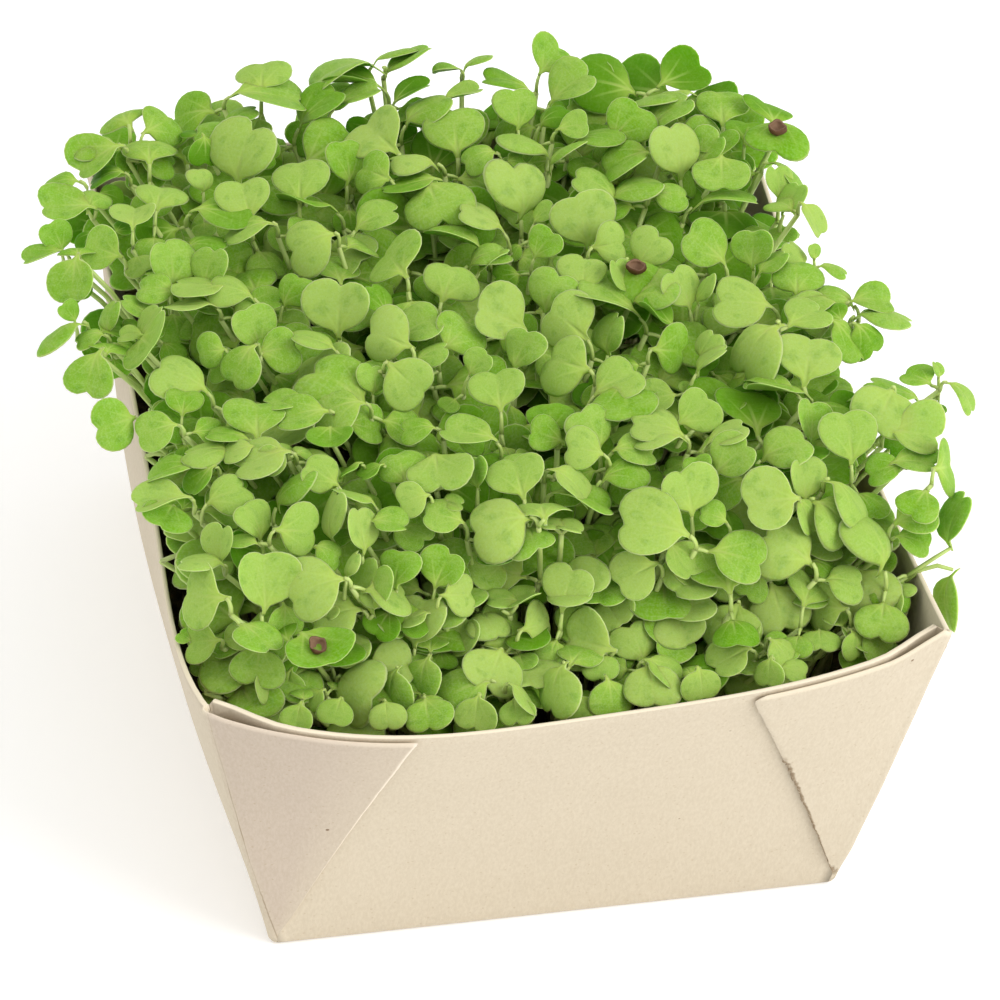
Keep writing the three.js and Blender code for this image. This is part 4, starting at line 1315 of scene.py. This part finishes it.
class Web:
    """The spare board of one corner, folded flat over the end wall as two plies. Each ply starts on the
    side wall, turns the corner and ends at the diagonal fold.

    side and end are below 0 at the left and at the front. opening is how far the web stands off at the
    rim, torn whether its fold is torn, weathered how much painted shade darkens its board, widen how much
    wider than the others it is, fullness how much wider than a straight wedge it is half way down, and rise
    how much its edge goes on rising past the corner."""

    def __init__(self, shape, side, end, opening, torn=False, weathered=0.0, widen=0.0, fullness=0.13,
                 rise=0.3 * MM):
        self.shape = shape
        self.side = side
        self.end = end
        self.opening = opening
        self.torn = torn
        self.weathered = weathered
        self.widen = widen
        self.fullness = fullness
        self.rise = rise
        self.levels = np.concatenate([np.linspace(WEB_FOOT, 0.12, 8),
                                      np.linspace(0.14, 0.985, TORN_STEPS if torn else WEB_STEPS), [1.0]])

    def corner(self, level):
        """How far the way round the corner is."""
        return self.shape.corner_radius(level) * math.pi / 2

    def reach(self, level):
        """How far the web goes, from the side wall and round the corner to its fold."""
        wedge = (self.shape.tray.web_width + self.widen) * level * (1 + self.fullness * (1 - level))
        return self.corner(level) + max(0.0, wedge - self.shape.corner_radius(level))

    def at(self, share, level, start, proud):
        """The point at a share of the reach: start is how far it is off the side wall, and proud how far
        off the end wall."""
        shape = self.shape
        radius = shape.corner_radius(level)
        width = float(shape.half_width(1, level))
        reach = share * self.reach(level)
        if reach < self.corner(level):
            angle = reach / radius
            out = radius + lerp(start, proud, math.sin(angle) ** 2)
            x = width - radius + out * math.cos(angle)
            y = float(shape.half_length(1, level, self.end)) - radius + out * math.sin(angle)
        else:
            x = width - radius - (reach - self.corner(level))
            y = float(shape.half_length(self.side * x / width, level, self.end)) + proud
        drop = shape.tray.web_drop * smooth(reach / DROP_REACH)
        drop -= self.rise * smooth(reach / RISE_REACH) * (1 - smooth(reach / RISE_REACH / 5 - 0.2))
        top = shape.rim_height(min(1, x / width), 1.0) - drop
        return np.array([self.side * x, self.end * y, level * top])

    def tear(self, level):
        """How far the fold is torn, from 0 to 1."""
        if not self.torn:
            return 0.0
        return smooth((TEAR_TOP - level) / TEAR_STEP) * smooth((level - TEAR_FOOT) / TEAR_STEP)

    def waver(self, level, under):
        """How far the fold strays from its line, as a share of the reach: more where it is torn."""
        wobble = 0.004 * noise.noise(Vector((level * 22, self.side * 3.3, 1.9)))
        wobble += 0.0035 * noise.noise(Vector((level * 75, self.side * 5.1, 4.2)))
        wobble *= level < 1
        return wobble + self.tear(level) * (0.02 * noise.noise(Vector((level * 45, 3.1, under * 5)))
                                            + 0.02 * noise.noise(Vector((level * 110, 7.7, under * 3))))

    def rounding(self, level):
        """The torn web's top corner is rounded."""
        if not self.torn:
            return 1.0
        return 1.0 - 0.06 * (1 - math.sqrt(1 - np.clip((level - 0.96) / 0.04, 0, 1) ** 2))

    def add_ply(self, part, under):
        """under is 1 for the ply against the wall, and 0 for the outer one, which stands off."""
        board = self.shape.tray.board
        scored = self.end < 0 and self.side < 0
        points = []
        values = {name: [] for name in BOARD_VALUES}
        for level in self.levels:
            ragged = self.waver(level, under)
            rounded = self.rounding(level)
            thick = 0.55 if level == 1.0 else 1.0
            stack = board * PLY_STACK[under] * smooth((level - 0.02) / 0.14)
            rag = 0.045 + 0.4 * smooth((0.1 - level) / 0.05)
            for face in (1, -1):
                for share in WEB_SHARES[::face]:
                    spread = self.opening * (1 - smooth((share - 0.02) / 0.45)) * level ** 2
                    outer = stack + (0.0 if under else spread) + WEB_GAP
                    tip = smooth((share - 0.96) / 0.04)
                    skin = 0.5 * board * thick * math.sqrt(max(0.0, 1 - tip * tip)) * face - 0.5 * board
                    stretched = share * (1 + ragged * smooth((share - 0.7) / 0.3)) * rounded
                    points.append(self.at(stretched * PLY_WIDTH[under], level * PLY_HEIGHT[under],
                                          SIDE_GAP + skin, outer + skin))
                    turned = share * self.reach(level) / self.corner(level)
                    fading = 1 - 0.45 * smooth((share - 0.45) / 0.5)
                    values["cut_edge"].append(float(level == 1.0))
                    # A painted highlight along the rounded fold at the ply's tip, faint where the fold is
                    # torn.
                    values["crease"].append(smooth((share - 0.972) / 0.015) * (0.15 if self.torn else 0.8))
                    values["torn"].append(self.tear(level) * smooth((share - 1 + rag) / 0.02))
                    values["turned"].append(turned if scored and face == 1 else NO_SCORE)
                    # Painted shade over the web's face, from half way round its corner, fading a little
                    # towards its fold.
                    values["weathered"].append(self.weathered * smooth(turned - 0.5) * fading)
        part.add(points, self.ply_faces(), **values)

    def ply_faces(self):
        """The two skins of a ply, and its foot and its top edge."""
        columns = 2 * len(WEB_SHARES)
        last = (len(self.levels) - 1) * columns
        faces = grid_faces(len(self.levels), columns, closed=True)
        for column in range(len(WEB_SHARES) - 1):
            far = columns - 1 - column
            faces.append([column, far, far - 1, column + 1])
            faces.append([last + column, last + column + 1, last + far - 1, last + far])
        return [face[::-1] for face in faces] if self.side * self.end < 0 else faces


# ---- Operators ----

class MICROGREENS_OT_tray(bpy.types.Operator):
    """Fold the board tray with its four corner webs"""
    bl_idname = "microgreens.tray"
    bl_label = "Fold the tray"

    wall_steps: bpy.props.IntProperty(
        name="Wall steps", description="Points along each wall", default=40)
    corner_steps: bpy.props.IntProperty(
        name="Corner steps", description="Points between the ends of each corner", default=5)
    level_steps: bpy.props.IntProperty(
        name="Level steps", description="Points up each side of a wall", default=22)

    def execute(self, context):
        tray = context.scene.microgreens_tray
        shape = TrayShape(tray)
        part = Part(*BOARD_VALUES)
        Walls(shape, self.wall_steps, self.corner_steps, self.level_steps).build(part)
        webs = (
            # The front left web gets painted shade, as it faces away from the light.
            Web(shape, -1, -1, 0.5 * MM, weathered=1.0, fullness=0.15),
            Web(shape, 1, -1, 0.2 * MM, torn=True, widen=1.2 * MM, fullness=-0.04, rise=1.5 * MM),
            Web(shape, -1, 1, 0.9 * MM),
            Web(shape, 1, 1, 1.2 * MM),
        )
        for web in webs:
            web.add_ply(part, 0)
            web.add_ply(part, 1)
        piece = part.build("tray_board", board_finish(tray))
        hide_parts("board_tray")
        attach(piece, BODY)
        return {"FINISHED"}


# The block of compost clears the board, and narrows a little to its foot.
BED_INSET = TRAY_BOARD + CLEARANCE
FOOT_SHRINK = 0.985
# A crumb's tiers: the reach and the height of each, as shares of its size.
CRUMB_SIDES = 7
CRUMB_TIERS = ((0.55, -0.6), (1.0, -0.1), (0.85, 0.5), (0.4, 0.85))


class MICROGREENS_OT_compost(bpy.types.Operator):
    """Fill the tray with crumbly compost"""
    bl_idname = "microgreens.compost"
    bl_label = "Fill with compost"

    columns: bpy.props.IntProperty(name="Columns", description="Points across the bed", default=90)
    rows: bpy.props.IntProperty(name="Rows", description="Points along the bed", default=112)

    def execute(self, context):
        scene = context.scene
        compost = scene.microgreens_compost
        bed = Bed(scene.microgreens_tray, compost, scene.microgreens_seedlings)
        low, high = (Vector(corner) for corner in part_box("growing_medium"))
        part = Part()
        points = self.face(bed, high.z)
        part.add(points, grid_faces(self.rows, self.columns))
        self.skirt(part, bed, points, low.z)
        self.crumbs(part, bed, compost, high.z)
        piece = part.build("compost_bed", compost_finish(compost))
        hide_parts("growing_medium")
        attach(piece, BODY)
        return {"FINISHED"}

    def face(self, bed, top):
        """The lumpy top face of the bed, level along its margin."""
        shape = bed.shape
        points = []
        for row in range(self.rows):
            along = lerp(-1, 1, row / (self.rows - 1))
            for column in range(self.columns):
                across = lerp(-1, 1, column / (self.columns - 1))
                x = across * (float(shape.half_width(along, bed.level, across)) - BED_INSET)
                y = along * (float(shape.half_length(across, bed.level, along)) - BED_INSET)
                spot = Vector((x, y, 0)) / MM
                lumps = noise.noise(spot * 0.22) * 1.3 + noise.noise(spot * 0.6) * 0.9
                grit = noise.noise(spot * 1.7) * 0.5
                hidden = max(abs(across), abs(along)) == 1
                points.append((x, y, top - 0.7 * MM + (0 if hidden else (lumps + grit) * MM * 0.8)))
        return points

    def skirt(self, part, bed, points, floor):
        """The sides and the foot of the block."""
        shape = bed.shape
        rows, columns = self.rows, self.columns
        rim = (list(range(columns))
               + [row * columns + columns - 1 for row in range(1, rows)]
               + [(rows - 1) * columns + column for column in range(columns - 2, -1, -1)]
               + [row * columns for row in range(rows - 2, 0, -1)])
        top = np.array([points[index] for index in rim])
        foot_level = BED_INSET / shape.tray.height
        width = float(shape.half_width(0, foot_level)) / float(shape.half_width(0, bed.level))
        length = float(shape.half_length(0, foot_level)) / float(shape.half_length(0, bed.level))
        foot = top.copy()
        foot[:, 0] *= width * FOOT_SHRINK
        foot[:, 1] *= length * FOOT_SHRINK
        foot[:, 2] = floor
        faces = grid_faces(2, len(rim), closed=True)
        faces.append(list(range(len(rim)))[::-1])
        part.add(np.concatenate([foot, top]), faces)

    def crumbs(self, part, bed, compost, top):
        """Loose crumbs: small lumpy blocks half sunk in the bed."""
        draw = np.random.default_rng(11)
        turn = np.arange(CRUMB_SIDES) * 2 * math.pi / CRUMB_SIDES
        for _ in range(compost.crumbs):
            across, along = draw.uniform(-0.93, 0.93, 2)
            size = compost.crumb_size * draw.uniform(0.3, 0.75)
            centre = np.array([across * bed.half_width, along * bed.half_length, top - 0.5 * MM])
            rings = []
            for reach, height in CRUMB_TIERS:
                rough = draw.uniform(0.7, 1.2, CRUMB_SIDES)[:, None]
                ring = np.column_stack([np.cos(turn), np.sin(turn), np.zeros(CRUMB_SIDES)]) * reach * rough
                ring[:, 2] = height * draw.uniform(0.8, 1.1)
                rings.append(centre + ring * size * np.array([1, draw.uniform(0.6, 1), 0.7]))
            faces = grid_faces(len(CRUMB_TIERS), CRUMB_SIDES, closed=True)
            faces.append([(len(CRUMB_TIERS) - 1) * CRUMB_SIDES + side for side in range(CRUMB_SIDES)])
            part.add(np.concatenate(rings), faces)


class MICROGREENS_OT_seedlings(bpy.types.Operator):
    """Grow the seedlings, one piece for each clump"""
    bl_idname = "microgreens.seedlings"
    bl_label = "Grow the seedlings"

    def execute(self, context):
        scene = context.scene
        seedlings = scene.microgreens_seedlings
        bed = Bed(scene.microgreens_tray, scene.microgreens_compost, seedlings)
        draw = np.random.default_rng(5)
        clumps = {(row, column): Part("tone", "along", "across", "margin", "under")
                  for row in range(ROWS) for column in range(COLUMNS)}

        def clump_at(across, along):
            column = min(COLUMNS - 1, max(0, int((across + 1) / 2 * COLUMNS)))
            row = min(ROWS - 1, max(0, int((along + 1) / 2 * ROWS)))
            return clumps[(row, column)]

        view = View(scene.camera)
        seen = seen_seedlings(bed, view, draw)
        sown = sown_seedlings(bed, np.random.default_rng(8), [pair[0] for _, pair in seen])
        for crown, leaves in seen + sown + carrier_seedlings(bed, draw):
            seedling(clump_at(*bed.under(crown[0], crown[1])), bed, crown, leaves, draw)
        leaf, stalk = leaf_finish(seedlings), stem_finish(seedlings)
        for (row, column), part in clumps.items():
            spot = f"r{row + 1}c{column + 1}"
            piece = part.build(f"seedlings_{spot}", leaf, stalk)
            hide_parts(f"seedling_clump_{spot}")
            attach(piece, BODY)
        return {"FINISHED"}


HULL_SIDES = 22
HULL_TIERS = 9
# How far a hull closes over, as a share of a half turn, and its wrinkles and its lip, as shares of its size.
HULL_CLOSING = 0.56
HULL_WRINKLE = 0.24
HULL_LIP = 0.2


class MICROGREENS_OT_hulls(bpy.types.Operator):
    """Lay the split seed hulls on the leaves that still carry them"""
    bl_idname = "microgreens.hulls"
    bl_label = "Lay the seed hulls"

    def execute(self, context):
        hulls = context.scene.microgreens_hulls
        finish = hull_finish(hulls)
        for number in range(1, HULL_COUNT + 1):
            node = f"seed_hull_{number}"
            low, high = (np.array(corner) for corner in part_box(node))
            piece = self.shell(f"hull_{number}", (low + high) / 2, high - low, hulls.wall, finish, number)
            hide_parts(node)
            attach(piece, BODY)
        return {"FINISHED"}

    def shell(self, name, centre, size, wall, finish, number):
        """A wrinkled cup, open at the top, with a curled lip. Its outer skin runs up and its inner down."""
        part = Part("split")
        turn = np.arange(HULL_SIDES) * 2 * math.pi / HULL_SIDES
        rings = []
        split = []
        for inner in (0, 1):
            shrink = 1 - inner * wall / (size.max() / 2)
            for tier in (range(HULL_TIERS - 1, -1, -1) if inner else range(HULL_TIERS)):
                angle = (tier + 0.35) / (HULL_TIERS - 0.65) * math.pi * HULL_CLOSING
                wrinkle = np.array([noise.noise(Vector((math.cos(way) * 1.7, math.sin(way) * 1.7,
                                                        tier * 0.35 + number * 9))) for way in turn])
                radial = math.sin(angle) * shrink * (1 + HULL_WRINKLE * wrinkle)
                lip = HULL_LIP * smooth((tier - HULL_TIERS + 3) / 3) * np.sin(3 * turn + number)
                height = -math.cos(angle) * shrink + lip
                ring = np.column_stack([np.cos(turn) * radial * size[0] / 2,
                                        np.sin(turn) * radial * size[1] / 2,
                                        0.3 * size[2] + height * size[2] * 0.62])
                rings.append(centre + ring)
                split.append(np.full(HULL_SIDES, float(inner)))
        faces = grid_faces(2 * HULL_TIERS, HULL_SIDES, closed=True)
        faces.append(list(range(HULL_SIDES))[::-1])
        faces.append([(2 * HULL_TIERS - 1) * HULL_SIDES + side for side in range(HULL_SIDES)])
        part.add(np.concatenate(rings), faces, split=np.concatenate(split))
        return part.build(name, finish)


FLOOR_REACH = 3.0
KEY_PLACE = (0.75, -0.7, 0.75)
FILL_PLACE = (-0.6, 0.25, 0.8)
LAMP_AIM = (0, 0, 0.04)
LAMP_SIZE = 0.8
SENSOR_WIDTH = 36


class MICROGREENS_OT_stage(bpy.types.Operator):
    """Set the pale floor, the soft lights and the camera"""
    bl_idname = "microgreens.stage"
    bl_label = "Set the stage"

    def execute(self, context):
        scene = context.scene
        stage = scene.microgreens_stage
        self.floor(scene, stage)
        self.lights(scene, stage)
        self.camera(scene, stage)
        scene.view_settings.view_transform = "Standard"
        return {"FINISHED"}

    def floor(self, scene, stage):
        mesh = bpy.data.meshes.new("floor")
        corners = [(x * FLOOR_REACH, y * FLOOR_REACH, 0) for x, y in ((-1, -1), (1, -1), (1, 1), (-1, 1))]
        mesh.from_pydata(corners, [], [(0, 1, 2, 3)])
        finish = Finish("pale floor")
        finish.set(Base_Color=stage.floor_colour, Roughness=0.9, Emission_Color=(1.0, 1.0, 1.0),
                   Emission_Strength=stage.floor_glow)
        mesh.materials.append(finish.material)
        floor = bpy.data.objects.new("floor", mesh)
        scene.collection.objects.link(floor)

    def lamp(self, scene, name, place, power):
        light = bpy.data.lights.new(name, "AREA")
        light.shape = "DISK"
        light.size = LAMP_SIZE
        light.energy = power
        lamp = bpy.data.objects.new(name, light)
        lamp.location = place
        lamp.rotation_euler = (Vector(LAMP_AIM) - Vector(place)).to_track_quat("-Z", "Y").to_euler()
        scene.collection.objects.link(lamp)

    def lights(self, scene, stage):
        self.lamp(scene, "key light", KEY_PLACE, stage.key_power)
        self.lamp(scene, "fill light", FILL_PLACE, stage.fill_power)
        world = bpy.data.worlds.new("studio")
        world.use_nodes = True
        background = world.node_tree.nodes["Background"]
        background.inputs["Color"].default_value = (1, 1, 1, 1)
        background.inputs["Strength"].default_value = stage.sky
        scene.world = world

    def camera(self, scene, stage):
        away = Vector((math.sin(stage.azimuth) * math.cos(stage.elevation),
                       -math.cos(stage.azimuth) * math.cos(stage.elevation),
                       math.sin(stage.elevation)))
        data = bpy.data.cameras.new("camera")
        data.lens = stage.lens
        data.sensor_width = SENSOR_WIDTH
        camera = bpy.data.objects.new("camera", data)
        turn = (-away).to_track_quat("-Z", "Y").to_matrix() @ Matrix.Rotation(stage.roll, 3, "Z")
        camera.matrix_world = Matrix.Translation(Vector(stage.aim) + away * stage.distance) @ turn.to_4x4()
        scene.collection.objects.link(camera)
        scene.camera = camera


class MICROGREENS_PT_panel(bpy.types.Panel):
    """The tray's pieces and their sizes"""
    bl_label = "Microgreens tray"
    bl_idname = "MICROGREENS_PT_panel"
    bl_space_type = "VIEW_3D"
    bl_region_type = "UI"
    bl_category = "Microgreens"

    def draw(self, context):
        for operator in OPERATORS:
            self.layout.operator(operator.bl_idname)
        for name, group in PROPERTY_GROUPS.items():
            box = self.layout.box()
            for key in group.__annotations__:
                box.prop(getattr(context.scene, name), key)


PROPERTY_GROUPS = {
    "microgreens_tray": TrayProperties,
    "microgreens_compost": CompostProperties,
    "microgreens_seedlings": SeedlingProperties,
    "microgreens_hulls": HullProperties,
    "microgreens_stage": StageProperties,
}
OPERATORS = (
    MICROGREENS_OT_stage,
    MICROGREENS_OT_tray,
    MICROGREENS_OT_compost,
    MICROGREENS_OT_seedlings,
    MICROGREENS_OT_hulls,
)


def register():
    for name, group in PROPERTY_GROUPS.items():
        bpy.utils.register_class(group)
        setattr(bpy.types.Scene, name, bpy.props.PointerProperty(type=group))
    for operator in OPERATORS:
        bpy.utils.register_class(operator)
    bpy.utils.register_class(MICROGREENS_PT_panel)


def unregister():
    bpy.utils.unregister_class(MICROGREENS_PT_panel)
    for operator in reversed(OPERATORS):
        bpy.utils.unregister_class(operator)
    for name, group in PROPERTY_GROUPS.items():
        delattr(bpy.types.Scene, name)
        bpy.utils.unregister_class(group)


def main():
    register()
    bpy.ops.microgreens.stage()
    bpy.ops.microgreens.tray()
    bpy.ops.microgreens.compost()
    bpy.ops.microgreens.seedlings()
    bpy.ops.microgreens.hulls()


if __name__ == "__main__":
    main()
